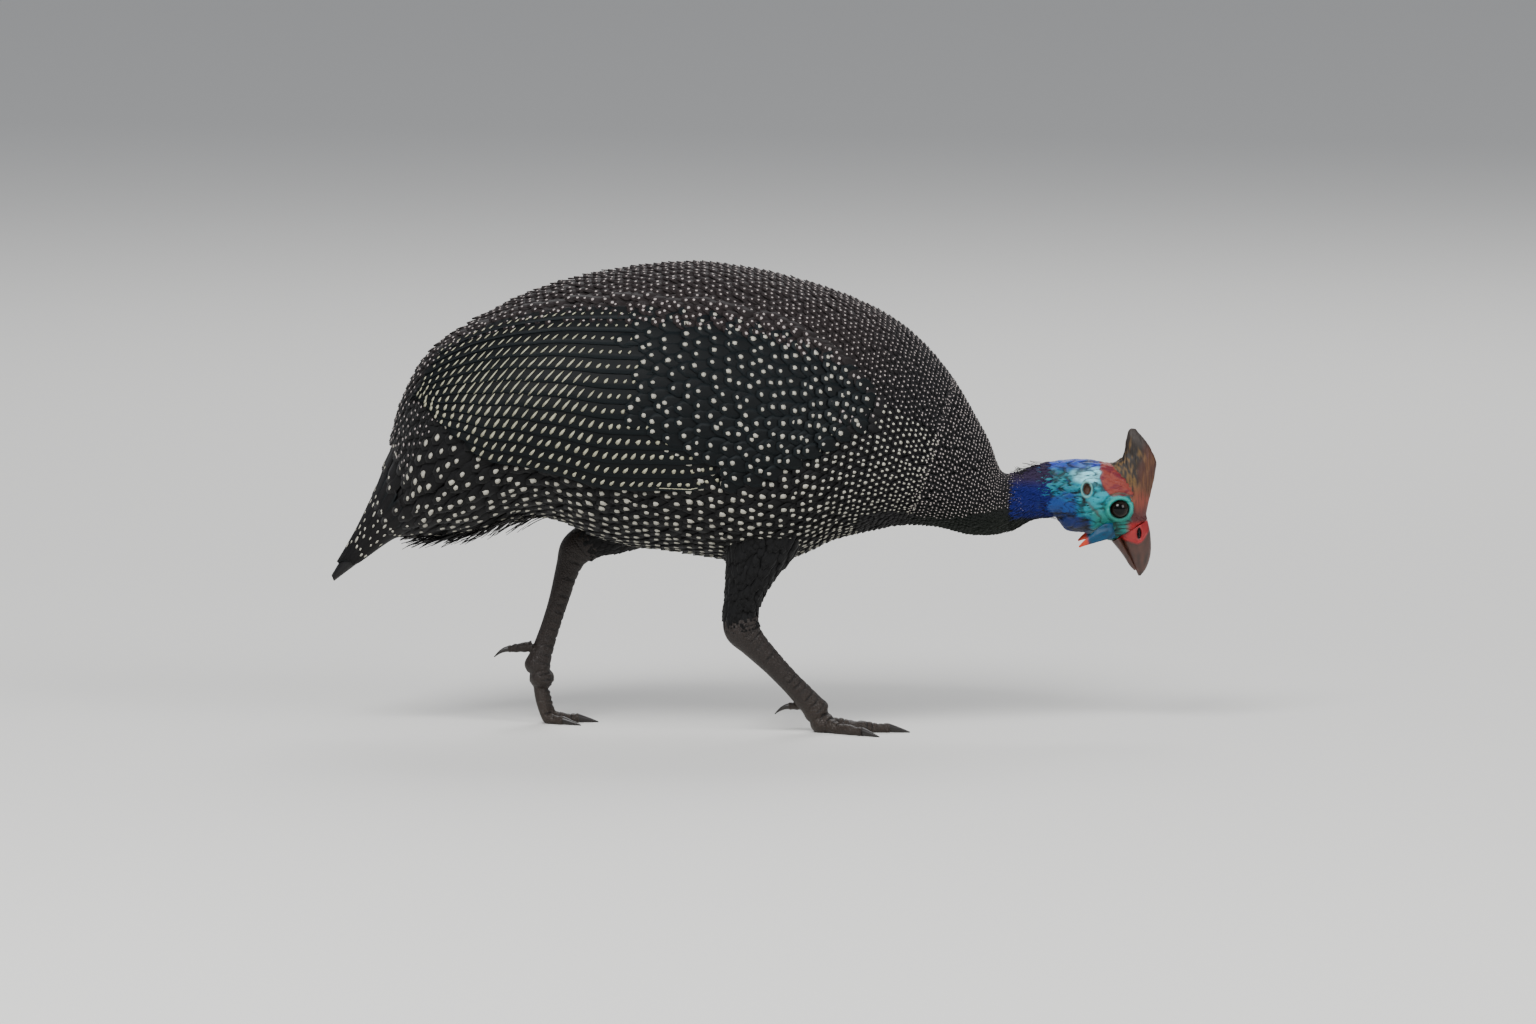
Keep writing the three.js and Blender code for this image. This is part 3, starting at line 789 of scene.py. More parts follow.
def sheet_faces(rows: int, columns: int) -> Array:
    """Give the quads of one closed vane: an upper grid, a lower grid and the rim.

    Args:
        rows: Rows of the grid.
        columns: Its columns.

    Returns:
        Quads over the upper grid's points followed by the lower grid's.
    """
    row, column = np.meshgrid(np.arange(rows - 1), np.arange(columns - 1), indexing="ij")
    a = (row * columns + column).ravel()
    upper = np.stack([a, a + 1, a + columns + 1, a + columns], axis=-1)
    shift = rows * columns
    lower = upper[:, ::-1] + shift
    c = np.arange(columns - 1)
    r = np.arange(rows - 1) * columns
    end = (rows - 1) * columns
    edges = np.concatenate(
        [
            np.stack([c + 1, c], axis=-1),
            np.stack([end + c, end + c + 1], axis=-1),
            np.stack([r, r + columns], axis=-1),
            np.stack([r + 2 * columns - 1, r + columns - 1], axis=-1),
        ]
    )
    rim = np.stack([edges[:, 0], edges[:, 1], edges[:, 1] + shift, edges[:, 0] + shift], -1)
    return np.concatenate([upper, lower, rim])


def vanes(upper: Array, lower: Array, colour: Array, bake: Array, flip: bool = False) -> Piece:
    """Make closed vanes from grids of shape (count, rows, columns).

    Args:
        upper: Points of the upper faces.
        lower: Points of the lower faces.
        colour: Pigment of each point.
        bake: Its place in the bake map.
        flip: True where the grids run the other way round.

    Returns:
        All the vanes as one piece.
    """
    count, rows, columns, _ = upper.shape
    faces = sheet_faces(rows, columns)
    faces = faces[:, ::-1] if flip else faces
    points, colour, bake = (
        np.concatenate([side.reshape(count, rows * columns, -1) for side in pair], axis=1)
        for pair in ((upper, lower), (colour, colour), (bake, bake))
    )
    shifts = np.arange(count)[:, None, None] * points.shape[1]
    return Piece(
        points.reshape(-1, 3),
        (faces[None] + shifts).reshape(-1, 4),
        colour.reshape(-1, 3),
        bake.reshape(-1, 2),
    )


# How a vane lifts from its root to its tip: under 1, it lifts early
LIFT_POWER = 0.85


@dataclass
class Feathers:
    """Feathers laid over a surface, all drawn with one grid.

    station and angle place each root, and length and width are its real size. The feather
    points towards lower stations, turned by lean degrees. root and tip are how far those lie
    off the surface.
    """

    surface: Surface
    station: Array
    angle: Array
    length: Array
    width: Array | float
    root: Array | float
    tip: Array
    lean: Array | float = 0.0
    rows: int = 5
    columns: int = 4
    curl: float = 0.5
    point: float = 0.35
    thick: float = 0.28

    def _profile(self, a: Array) -> Array:
        """Give the share of the full width at each share of the length.

        Args:
            a: Share of the length.

        Returns:
            Share of the width.
        """
        body = 0.45 + 0.55 * np.sin(np.pi * np.clip(a / 0.75, 0, 1) * 0.5)
        end = np.clip((1 - a) / 0.32, 0, 1)
        return body * (self.point + (1 - self.point) * np.sqrt(1 - (1 - end) ** 2))

    def place(self, a: Array, b: Array) -> tuple[Array, Array, Array]:
        """Give the station, angle and rise at shares along (0..1) and across (-1..1).

        Args:
            a: Share of the length, one row for each feather.
            b: Share of the half width.

        Returns:
            Station, angle and rise, of the shape of a.
        """
        shape = (len(self.station),) + (1,) * (a.ndim - 1)

        def column(value: Array | float) -> Array:
            """Shape one value for each feather so that it goes with a and b."""
            return np.broadcast_to(value, len(self.station)).reshape(shape)

        pace = self.surface.station_mm(self.station, self.angle)
        middle = np.maximum(column(self.station) - column(self.length / 2 / pace), 0)
        pace = self.surface.station_mm(middle, column(self.angle))
        turn = np.radians(column(self.lean))
        reach = a * column(self.length)
        half = b * column(self.width) / 2 * self._profile(a)
        station = column(self.station) - (reach * np.cos(turn) - half * np.sin(turn)) / pace
        sideways = reach * np.sin(turn) + half * np.cos(turn)
        degree = np.maximum(self.surface.degree_mm(station), LEAST_DEGREE_MM)
        angle = column(self.angle) + sideways / degree
        rise = column(self.root) + (column(self.tip) - column(self.root)) * a**LIFT_POWER
        return station, angle, rise - self.curl * b**2 * a

    def build(self, paint: Callable[[Array, Array, Array, Array], Array]) -> Piece:
        """Make all the vanes as one piece.

        Args:
            paint: Gives the pigment from points, station, share along and share across.

        Returns:
            The piece.
        """
        count = len(self.station)
        a, b = np.meshgrid(
            np.linspace(0, 1, self.rows), np.linspace(-1, 1, self.columns), indexing="ij"
        )
        a = np.broadcast_to(a, (count, *a.shape))
        b = np.broadcast_to(b, (count, *b.shape))
        station, angle, rise = self.place(a, b)
        upper = self.surface.point(station, angle, rise)
        lower = self.surface.point(station, angle, rise - self.thick)
        u, v = self.surface.unwrap(self.station, self.angle)
        bake = np.stack(
            [u[:, None, None] + a * BAKE_PATCH, v[:, None, None] + b * BAKE_PATCH / 2], axis=-1
        )
        return vanes(upper, lower, paint(upper, station, a, b), bake)

    def spots(
        self,
        along: Array | float,
        across: Array | float,
        size: Array,
        pigment: Array,
        stretch: Array | float = 1.0,
        slant: Array | float = 0.0,
        keep: Array | None = None,
    ) -> Piece:
        """Make one raised pale spot on each feather.

        Args:
            along: Share of the feather's length where the spot's middle lies.
            across: Share of its half width.
            size: The spot's width in millimetres.
            pigment: The spot's colour.
            stretch: How many times longer the spot is than wide.
            slant: The turn of its long way, in degrees from the feather's length.
            keep: True for each feather that carries a spot, or None for all.

        Returns:
            The piece.
        """
        count = len(self.station)
        a = np.broadcast_to(along, count)[:, None]
        b = np.broadcast_to(across, count)[:, None]
        station, angle, rise = (value[:, 0] for value in self.place(a, b))
        kept = np.ones(count, bool) if keep is None else keep
        size, stretch, slant = (
            np.broadcast_to(value, count)[kept] for value in (size, stretch, slant)
        )
        return discs(
            self.surface, station[kept], angle[kept], rise[kept], size, pigment, stretch, slant
        )


# Height in millimetres of a raised spot's middle and rim, and how deep its root is sunk
SPOT_TOP = 0.24
SPOT_RIM = 0.1
SPOT_DEPTH = 0.55
# How far a spot's rim wanders, as a share of its half width
SPOT_ROUGH = 0.16
# How much darker or paler than its pigment a spot may be
SPOT_SHADE = (-0.12, 0.08)


def discs(
    surface: Surface,
    station: Array,
    angle: Array,
    rise: Array,
    size: Array,
    pigment: Array,
    stretch: Array | float = 1.0,
    slant: Array | float = 0.0,
    sides: int = 8,
    taper: float = 0.0,
) -> Piece:
    """Make small low domes on a surface.

    Args:
        surface: What they lie on.
        station: Station of each middle.
        angle: Angle of each middle.
        rise: How far the surface below each lies off.
        size: Width in millimetres.
        pigment: Their colour.
        stretch: How many times longer than wide each is.
        slant: The turn of the long way, in degrees from the stations.
        sides: Points round each.
        taper: How much narrower than its other end the fore end is.

    Returns:
        The piece.
    """
    count = len(station)
    even = np.linspace(0, 2 * np.pi, sides, endpoint=False)[None]
    turn = even + RNG.uniform(0, 1, (count, 1))
    rough = 1 + RNG.uniform(-SPOT_ROUGH, SPOT_ROUGH, (count, sides))
    half = (np.broadcast_to(size, count) / 2)[:, None] * rough
    far = half * np.cos(turn) * np.broadcast_to(stretch, count)[:, None]
    wide = half * np.sin(turn) * (1 - taper * np.cos(turn))
    lean = np.radians(np.broadcast_to(slant, count))[:, None]
    ahead = far * np.cos(lean) - wide * np.sin(lean)
    aside = far * np.sin(lean) + wide * np.cos(lean)
    pace = surface.station_mm(station, angle)[:, None]
    stations = station[:, None] + ahead / pace
    degree = np.maximum(surface.degree_mm(station), LEAST_DEGREE_MM)[:, None]
    angles = angle[:, None] + aside / degree
    ring = surface.point(stations, angles, (rise + SPOT_RIM)[:, None])
    top = surface.point(station, angle, rise + SPOT_TOP)[:, None]
    low = surface.point(station, angle, rise - SPOT_DEPTH)[:, None]
    points = np.concatenate([ring, top, low], axis=1)
    spoke = np.arange(0, sides, 2)
    one, two = spoke + 1, (spoke + 2) % sides
    caps = np.concatenate(
        [
            np.stack([np.full_like(spoke, sides), spoke, one, two], axis=-1),
            np.stack([np.full_like(spoke, sides + 1), two, one, spoke], axis=-1),
        ]
    )
    shifts = np.arange(count)[:, None, None] * (sides + 2)
    u, v = surface.unwrap(station, angle)
    bake = np.stack([u, v], axis=-1)[:, None] + np.concatenate(
        [np.stack([np.cos(turn), np.sin(turn)], axis=-1), np.zeros((count, 2, 2))], axis=1
    ) * (BAKE_PATCH / 2)
    shade = 1 + RNG.uniform(*SPOT_SHADE, (count, 1, 1))
    colour = np.broadcast_to(pigment, (count, 3))[:, None] * shade
    return Piece(
        points.reshape(-1, 3),
        (caps[None] + shifts).reshape(-1, 4),
        np.broadcast_to(colour, (count, sides + 2, 3)).reshape(-1, 3),
        bake.reshape(-1, 2),
    )


# Plumage


# Where one colour fades into the next: LIFT by height in millimetres, FADE by station
FLANK_LIFT = (120, 150)
BACK_LIFT = (190, 262)
NECK_FADE = (12.2, 14.5)
NECK_LIFT = (118, 150)
UNDER_FADE = (14.5, 16)
UNDER_LIFT = (128, 146)
TAIL_FADE = (3.5, 5.5)
COLLAR_FADE = (18.6, 19.4)
COLLAR_LIFT = (130, 134)
COLLAR_TOP_LIFT = (150, 158)


def plumage_pigment(points: Array, station: Array, along: Array, across: Array) -> Array:
    """Paint body feathers: brown-grey back, black flank and belly, dark blue collar.

    Args:
        points: Where the feather's points lie.
        station: Their stations on the body.
        along: Share along the feather.
        across: Share across it.

    Returns:
        Linear colours.
    """
    height = points[..., 2]
    colour = mix(Hue.BELLY.rgb, Hue.FLANK.rgb, smooth(height, *FLANK_LIFT))
    colour = mix(colour, Hue.BACK.rgb, smooth(height, *BACK_LIFT))
    front = smooth(station, *NECK_FADE)
    colour = mix(colour, Hue.NECK.rgb, front * smooth(height, *NECK_LIFT))
    under = smooth(station, *UNDER_FADE) * (1 - smooth(height, *UNDER_LIFT))
    colour = mix(colour, Hue.UNDER_NECK.rgb, under)
    colour = mix(colour, Hue.TAIL.rgb, 1 - smooth(station, *TAIL_FADE))
    colour = mix(colour, collar_pigment(points), smooth(station, *COLLAR_FADE) * (1 - under))
    # Painted light: each feather is paler towards its tip and rim, a painted sheen, and darker
    # towards its root, a painted shade where the next tier covers it.
    edge = 1 + 0.5 * smooth(along, 0.7, 1.0) * (0.4 + 0.6 * across**2)
    root = 0.55 + 0.45 * smooth(along, 0.1, 0.7)
    return colour * (edge * root)[..., None]


def collar_pigment(points: Array, *_: Array) -> Array:
    """Paint the collar's filaments: ultramarine on the sides, dark violet over the top.

    Args:
        points: Where the filaments' points lie.
        *_: Not used.

    Returns:
        Linear colours.
    """
    height = points[..., 2]
    side = mix(Hue.UNDER_NECK.rgb, Hue.COLLAR.rgb, smooth(height, *COLLAR_LIFT))
    return mix(side, Hue.COLLAR_TOP.rgb, smooth(height, *COLLAR_TOP_LIFT))


def belly_pigment(points: Array, *_: Array) -> Array:
    """Paint loose feathers black like the belly."""
    return np.broadcast_to(Hue.BELLY.rgb, points.shape)


def flank_pigment(points: Array, *_: Array) -> Array:
    """Paint the thigh's feathers like the flank."""
    return np.broadcast_to(Hue.FLANK.rgb, points.shape)


# Distance between spots in millimetres, by station
BODY_STATIONS = (3.6, 6, 10, 11, 12, 13, 15)
BACK_GAPS: Table = (BODY_STATIONS, (6.6, 6.0, 5.7, 5.3, 4.7, 4.1, 3.4))
SIDE_GAPS: Table = (BODY_STATIONS, (8.6, 8.8, 8.2, 7.6, 6.4, 5.0, 3.4))
NECK_GAPS: Table = ((15, 17, 19, 20.3), (3.3, 2.7, 2.2, 1.7))
TAIL_GAPS: Table = ((0,), (9.0,))
# The coat's depth in millimetres from the outer shape to the skin, by station
COAT_DEPTH: Table = (
    (0, 2, 4, 6, 12, 15, 17, 19, 20.2),
    (0.6, 1.5, 4, 5.5, 5.5, 4.2, 2.6, 1.1, 0.0),
)
# Distance between tiers as a share of the distance between neighbours in a tier
TIER_PITCH = 0.86
# Where a spot lies along a body feather, as a share of its length
SPOT_ALONG = 0.84


@dataclass
class Coat:
    """Body feathers in tiers, with a pale spot near the tip of each."""

    body: BodySurface
    feather: Material
    white: Material
    overlap: float = 3.0
    spread: float = 1.35
    back_half: float = 70.0
    plain_from: float = 68.0
    plain_line: float = 136.0
    spots_end: float = 19.2
    tail_from: float = 2.4
    back_from: float = 3.9
    neck_from: float = 14.9
    back_to: float = 15
    neck_to: float = 20.3
    stray: float = 0.14

    def depth(self, station: Array) -> Array:
        """Give the coat's depth, from the skin to the outer shape."""
        return np.interp(station, *COAT_DEPTH)

    def grid(
        self, start: float, end: float, low: float, high: float, spacing: Table
    ) -> tuple[Array, Array, Array]:
        """Set out roots in staggered tiers.

        Args:
            start: First station of the tips' tier, nearest the tail.
            end: Last station.
            low: Lowest angle.
            high: Highest angle.
            spacing: The distance between feathers, by station.

        Returns:
            Station, angle and spacing of each root.
        """
        stations, angles, gaps = [], [], []
        station, row = start, 0
        middle = (low + high) / 2
        while station < end:
            gap = float(np.interp(station, *spacing))
            degree = float(self.body.degree_mm(np.array(station)))
            pace = float(self.body.station_mm(np.array(station), np.array(middle)))
            count = max(3, round((high - low) * degree / gap))
            turn = low + (np.arange(count) + 0.5 * (row % 2) + 0.25) * (high - low) / count
            stations.append(np.full(count, station))
            angles.append(turn)
            gaps.append(np.full(count, gap))
            station += gap * TIER_PITCH / pace
            row += 1
        station = np.concatenate(stations)
        gap = np.concatenate(gaps)
        angle = np.concatenate(angles)
        pace = self.body.station_mm(station, angle)
        station = station + RNG.uniform(-self.stray, self.stray, len(gap)) * gap / pace
        degree = self.body.degree_mm(station)
        angle = angle + RNG.uniform(-self.stray, self.stray, len(gap)) * gap / degree
        return station, angle, gap

    def lay(self, station: Array, angle: Array, gap: Array, **look) -> Feathers:
        """Lay feathers so that their tips reach the outer shape.

        Args:
            station: Station of each tip.
            angle: Angle of each.
            gap: Distance between neighbours.
            **look: Further fields of Feathers.

        Returns:
            The feathers.
        """
        length = gap * self.overlap * RNG.uniform(0.92, 1.08, len(gap))
        pace = self.body.station_mm(station, angle)
        root = np.minimum(station + length / pace, self.body.last)
        return Feathers(
            self.body,
            root,
            angle,
            length,
            gap * self.spread,
            -self.depth(root) * 0.92,
            RNG.uniform(-0.35, 0.55, len(gap)) * np.minimum(gap / 6, 1),
            lean=RNG.uniform(-6, 6, len(gap)),
            **look,
        )

    def _spotted(self, station: Array, angle: Array) -> Array:
        """Tell which feathers carry a spot: none under the neck and none on the collar.

        Args:
            station: Station of each root.
            angle: Angle of each.

        Returns:
            True for a feather with a spot.
        """
        place = self.body.point(station, angle)
        line = self.plain_line + 2.5 * np.sin(place[:, 0] * 0.09)
        under = (place[:, 2] < line) & (place[:, 0] > self.plain_from)
        loose = RNG.uniform(-0.25, 0.25, len(station))
        return ~under & (station + loose < self.spots_end)

    def zone(
        self,
        name: str,
        roots: tuple[Array, Array, Array],
        spot_share: float,
        spot: Array,
        stretch: float = 1.0,
        **look,
    ) -> None:
        """Build one zone's feathers and its spots.

        Args:
            name: The zone's name.
            roots: Station, angle and spacing of each feather.
            spot_share: Width of a spot as a share of the spacing.
            spot: Colour of the spots.
            stretch: How many times longer than wide a spot is.
            **look: Further fields of Feathers.
        """
        station, angle, gap = roots
        feathers = self.lay(station, angle, gap, **look)
        feathers.build(plumage_pigment).build(f"coat_{name}", self.feather, "plumage")
        size = gap * spot_share * RNG.uniform(0.78, 1.2, len(gap))
        size = size * (1 - 0.45 * smooth(station, 17.4, 19.2))
        kept = self._spotted(station, angle)
        stretch = stretch * RNG.uniform(0.85, 1.2, len(gap))
        spots = feathers.spots(SPOT_ALONG, 0.0, size, spot, stretch, keep=kept)
        spots.build(f"spots_{name}", self.white, "plumage")
        LOG.info("coat %s: %d feathers", name, len(gap))

    def build(self) -> None:
        """Build every zone of the body."""
        back, white = Hue.BACK_SPOT.rgb, Hue.WHITE_SPOT.rgb
        split, along = self.back_half, (self.back_from, self.back_to)
        for name, low, high in (("back_left", 0, split), ("back_right", -split, 0)):
            self.zone(name, self.grid(*along, low, high, BACK_GAPS), 0.27, back)
        for name, low, high in (("left", split, 180), ("right", 180, 360 - split)):
            self.zone(name, self.grid(*along, low, high, SIDE_GAPS), 0.39, white, 1.35)
        neck = self.grid(self.neck_from, self.neck_to, 0, 360, NECK_GAPS)
        self.zone("neck", neck, 0.35, back, rows=4, columns=3)
        tail = self.grid(self.tail_from, self.back_from, 0, 360, TAIL_GAPS)
        self.zone("tail", tail, 0.26, white, 1.2)


# Angles in degrees of the folded wing's upper and lower edge, by station
EDGE_STATIONS = (5.4, 6, 7, 8, 9, 10, 11, 12, 13)
UPPER_EDGE = (24, 20, 23, 34, 40, 45, 47, 54, 68)
LOWER_EDGE = (46, 84, 106, 119, 121, 119, 109, 96, 83)


def patch_edges(station: Array) -> tuple[Array, Array]:
    """Give the angles of the folded wing's upper and lower edge at each station.

    Args:
        station: Station of each point.

    Returns:
        Degrees of the upper and of the lower edge.
    """
    high = np.interp(station, EDGE_STATIONS, UPPER_EDGE)
    low = np.interp(station, EDGE_STATIONS, LOWER_EDGE)
    return high, low


# Length and width in millimetres of the dashes, from the wing's highest row to its lowest
DASH_ROWS = (0, 0.15, 0.35, 0.48, 0.6, 0.75, 1)
DASH_LONG = (3.2, 5.0, 8.6, 10.6, 7.6, 6.0, 4.2)
DASH_WIDE = (0.9, 1.0, 1.1, 1.15, 1.5, 1.8, 1.7)
DASH_COURSE = (0.66, 0.0, 0.75)
# How far back each flight feather's tip lies, by its share of the stack from the top
TIP_LINE: Table = ((0, 0.25, 0.5, 0.8, 1), (0.12, 0.04, -0.02, 0.03, 0.16))
# Rows of body feathers that lap over the wing: shares below its upper edge and from its rear
COVER_ROWS = (-0.07, -0.02, 0.03, 0.08)
COVER_FRONTS = (0.93, 0.96, 0.99, 1.02)
COVER_GAPS: Table = ((5.4, 8, 11, 12.4, 13.2), (5.4, 6.0, 6.2, 5.6, 5.0))
# Rise of those feathers' tips by station, and width of their spots by angle
COVER_TIPS: Table = ((11.6, 12.8), (2.0, 0.9))
COVER_SPOTS: Table = ((30, 75), (0.3, 0.4))
# The lowest feather's outer rim, as a share from the wing's upper edge
LOW_RIM = 0.985


@dataclass
class Wing:
    """A folded wing: long flight feathers in rows under tiers of coverts.

    rear and front are its stations on the body. Places on it are u, a share from the rear to the
    front, and v, a share from the upper to the lower edge. long_mm is the length of u.
    """

    body: BodySurface
    name: str
    side: int
    contour: Material
    flight: Material
    white: Material
    rear: float = 5.4
    front: float = 13.0
    flights: int = 13
    flight_root: float = 0.66
    dash_gap: float = 5.9
    covert_gap: float = 7.6
    covert_from: float = 0.5
    long_mm: float = 285.0
    cover_pace: float = 5.6
    flight_thick: float = 0.45
    flight_overlap: float = 1.9
    tip_round: float = 0.035
    dash_across: float = 0.62
    dash_rise: float = 0.3
    flight_grid: tuple[int, int] = (30, 6)
    line_span: tuple[float, float] = (0.3, 0.62)

    def spot(self, u: Array, v: Array) -> tuple[Array, Array]:
        """Give station and angle at a share from the rear and from the upper edge.

        Args:
            u: Share from the rear.
            v: Share from the upper edge.

        Returns:
            Station and angle.
        """
        station = self.rear + (self.front - self.rear) * np.asarray(u, float)
        high, low = patch_edges(station)
        return station, self.side * (high + (low - high) * v)

    def _row_tip(self, share: Array) -> Array:
        """Give the u of a flight feather's tip from its place in the stack."""
        return np.interp(share, *TIP_LINE)

    def _rise(self, a: Array, across: Array) -> Array:
        """Give a flight feather's rise: sunk at its root and high edge, proud at its low edge."""
        return -1.6 + 2.3 * smooth(a, 0, 0.35) + 1.25 * across

    def flight_sheets(self) -> Piece:
        """Make the long flight feathers.

        Returns:
            All of them as one piece.
        """
        rows, columns = self.flight_grid
        row = np.arange(self.flights)[:, None, None]
        a, b = np.meshgrid(np.linspace(0, 1, rows), np.linspace(0, 1, columns), indexing="ij")
        a = np.broadcast_to(a, (self.flights, rows, columns))
        b = np.broadcast_to(b, a.shape)
        share = (row + 0.5) / self.flights
        round_off = self.tip_round * (1 - np.sqrt(np.clip(1 - (2 * b - 1.1) ** 2, 0, 1)))
        u = self.flight_root + (self._row_tip(share) + round_off - self.flight_root) * a
        v = (row + 1 - self.flight_overlap * (1 - b)) / self.flights
        station, angle = self.spot(u, np.clip(v, -0.02, 1.0))
        rise = self._rise(a, b)
        upper = self.body.point(station, angle, rise)
        lower = self.body.point(station, angle, rise - self.flight_thick)
        edge = smooth(b, 0.86, 1.0)
        colour = mix(Hue.WING.rgb * 0.8, Hue.WING_EDGE.rgb, edge * 0.7)
        root_u, root_v = self.body.unwrap(station[:, 0, 0], angle[:, 0, 0])
        bake_u = root_u[:, None, None] + a * BAKE_PATCH
        bake_v = root_v[:, None, None] + (b - 0.5) * BAKE_PATCH
        bake = np.stack([bake_u, bake_v], axis=-1)
        return vanes(upper, lower, colour, bake, flip=self.side < 0)

    def _paced(self, start: float, end: float, v: float, gap: float) -> Array:
        """Set out places along a row of the wing at an even distance.

        Args:
            start: First u.
            end: Last u.
            v: The row's v.
            gap: Distance in millimetres.

        Returns:
            The u of each place.
        """
        u = np.linspace(start, end, 200)
        points = self.body.point(*self.spot(u, np.full(len(u), v)))
        steps = np.linalg.norm(np.diff(points, axis=0), axis=1)
        length = np.concatenate([[0], np.cumsum(steps)])
        return np.interp(np.arange(gap / 2, length[-1], gap), length, u)

    def _front_of(self, share: Array | float) -> Array:
        """Give the u where the coverts begin, further forward on the lower rows."""
        return self.covert_from + 0.13 * smooth(np.asarray(share, float), 0.55, 0.95)

    def dashes(self) -> Piece:
        """Make the slanted pale dashes that cross each flight feather.

        Returns:
            All of them as one piece.
        """
        places = []
        step = self.dash_gap / self.long_mm
        for row in range(self.flights):
            share = (row + 0.5) / self.flights
            tip = float(self._row_tip(np.array(share)))
            first = max(tip, 0) + 0.012 + step * 0.35 * (row % 3)
            u = self._paced(first, float(self._front_of(share)) + 0.03, share, self.dash_gap)
            u = u + RNG.uniform(-0.07, 0.07, len(u)) * step
            places.append(np.stack([u, np.full(len(u), row + 0.5)], axis=-1))
        u, row = np.concatenate(places).T
        v = np.clip(row / self.flights, 0, LOW_RIM)
        station, angle = self.spot(u, v)
        tips = self._row_tip(row / self.flights)
        a = (self.flight_root - u) / (self.flight_root - tips)
        rise = self._rise(a, np.full(len(u), self.dash_across)) + self.dash_rise
        share = row / self.flights
        long = np.interp(share, DASH_ROWS, DASH_LONG)
        wide = np.interp(share, DASH_ROWS, DASH_WIDE)
        front = self._front_of(share)
        ends = smooth(u, 0.06, 0.24) * (1 - smooth(u, front - 0.1, front))
        long = wide + (long - wide) * (0.25 + 0.75 * ends)
        wide = wide * (1.35 - 0.35 * ends)
        wide = wide * RNG.uniform(0.85, 1.15, len(u))
        slant = slant_towards(self.body, station, angle, DASH_COURSE)
        return discs(
            self.body, station, angle, rise, wide, Hue.DASH.rgb, long / wide, slant, taper=0.35
        )

    def edge_line(self) -> Piece:
        """Make the thin pale line along the lower edge of the lowest flight feather.

        Returns:
            The line's short strokes as one piece.
        """
        u = self._paced(*self.line_span, LOW_RIM, 2.0)
        station, angle = self.spot(u, np.full(len(u), LOW_RIM))
        rise = np.full(len(u), 0.75)
        course = np.gradient(self.body.point(station, angle), axis=0)
        slant = slant_towards(self.body, station, angle, course)
        return discs(self.body, station, angle, rise, 0.55, Hue.DASH.rgb, 5.4, slant)

    def cover_roots(self) -> tuple[Array, Array]:
        """Set out body feathers that lap over the wing's upper and front edge.

        Returns:
            Station and angle of each.
        """
        places = []
        for row, v in enumerate(COVER_ROWS):
            u = self._paced(0.02, 0.99, max(v, 0.0), self.cover_pace) + 0.009 * (row % 2)
            places.append(np.stack([u, np.full(len(u), v)], axis=-1))
        for row, u in enumerate(COVER_FRONTS):
            v = np.arange(0.05 + 0.07 * (row % 2), 1.05, 0.14 + 0.5 * max(u - 0.95, 0))
            places.append(np.stack([np.full(len(v), u), v], axis=-1))
        u, v = np.concatenate(places).T
        u = u + RNG.uniform(-0.005, 0.005, len(u))
        v = v + RNG.uniform(-0.012, 0.012, len(u))
        return self.spot(u, v)

    def build_cover(self) -> None:
        """Build the feathers that hide where the wing is set in."""
        station, angle = self.cover_roots()
        gap = np.interp(station, *COVER_GAPS)
        length = gap * 2.6
        root = station + length / self.body.station_mm(station, angle)
        cover = Feathers(
            self.body,
            np.minimum(root, 14.4),
            angle,
            length,
            gap * 1.3,
            -2.6,
            np.interp(station, *COVER_TIPS) + RNG.uniform(-0.3, 0.4, len(gap)),
            lean=RNG.uniform(-8, 8, len(gap)),
        )
        cover.build(plumage_pigment).build(f"cover_{self.name}", self.contour, "plumage")
        size = gap * np.interp(np.abs(angle), *COVER_SPOTS)
        size = size * RNG.uniform(0.8, 1.2, len(gap))
        kept = RNG.uniform(0, 1, len(gap)) > 0.45 * smooth(station, 11.6, 12.4)
        spots = cover.spots(SPOT_ALONG, 0.0, size, Hue.BACK_SPOT.rgb, keep=kept)
        spots.build(f"cover_spots_{self.name}", self.white, "plumage")

    def covert_roots(self) -> tuple[Array, Array, Array]:
        """Set out the coverts in staggered tiers over the front of the wing.

        Returns:
            Station, angle and size of each.
        """
        places = []
        u, row = self.covert_from, 0
        while u < 0.99:
            station = np.array(self.rear + (self.front - self.rear) * u)
            high, low = patch_edges(station)
            degree = float(self.body.degree_mm(station))
            count = max(3, round(float(low - high) * degree / self.covert_gap))
            v = (np.arange(count) + 0.5 * (row % 2) + 0.25) / count
            places.append(np.stack([np.full(count, u), v], axis=-1))
            u += self.covert_gap * TIER_PITCH / self.long_mm
            row += 1
        u, v = np.concatenate(places).T
        u = u + RNG.uniform(-0.008, 0.008, len(u))
        kept = u > self._front_of(v) + RNG.uniform(-0.02, 0.02, len(u))
        u, v = u[kept], v[kept]
        station, angle = self.spot(u, v)
        return station, angle, np.full(len(u), self.covert_gap)

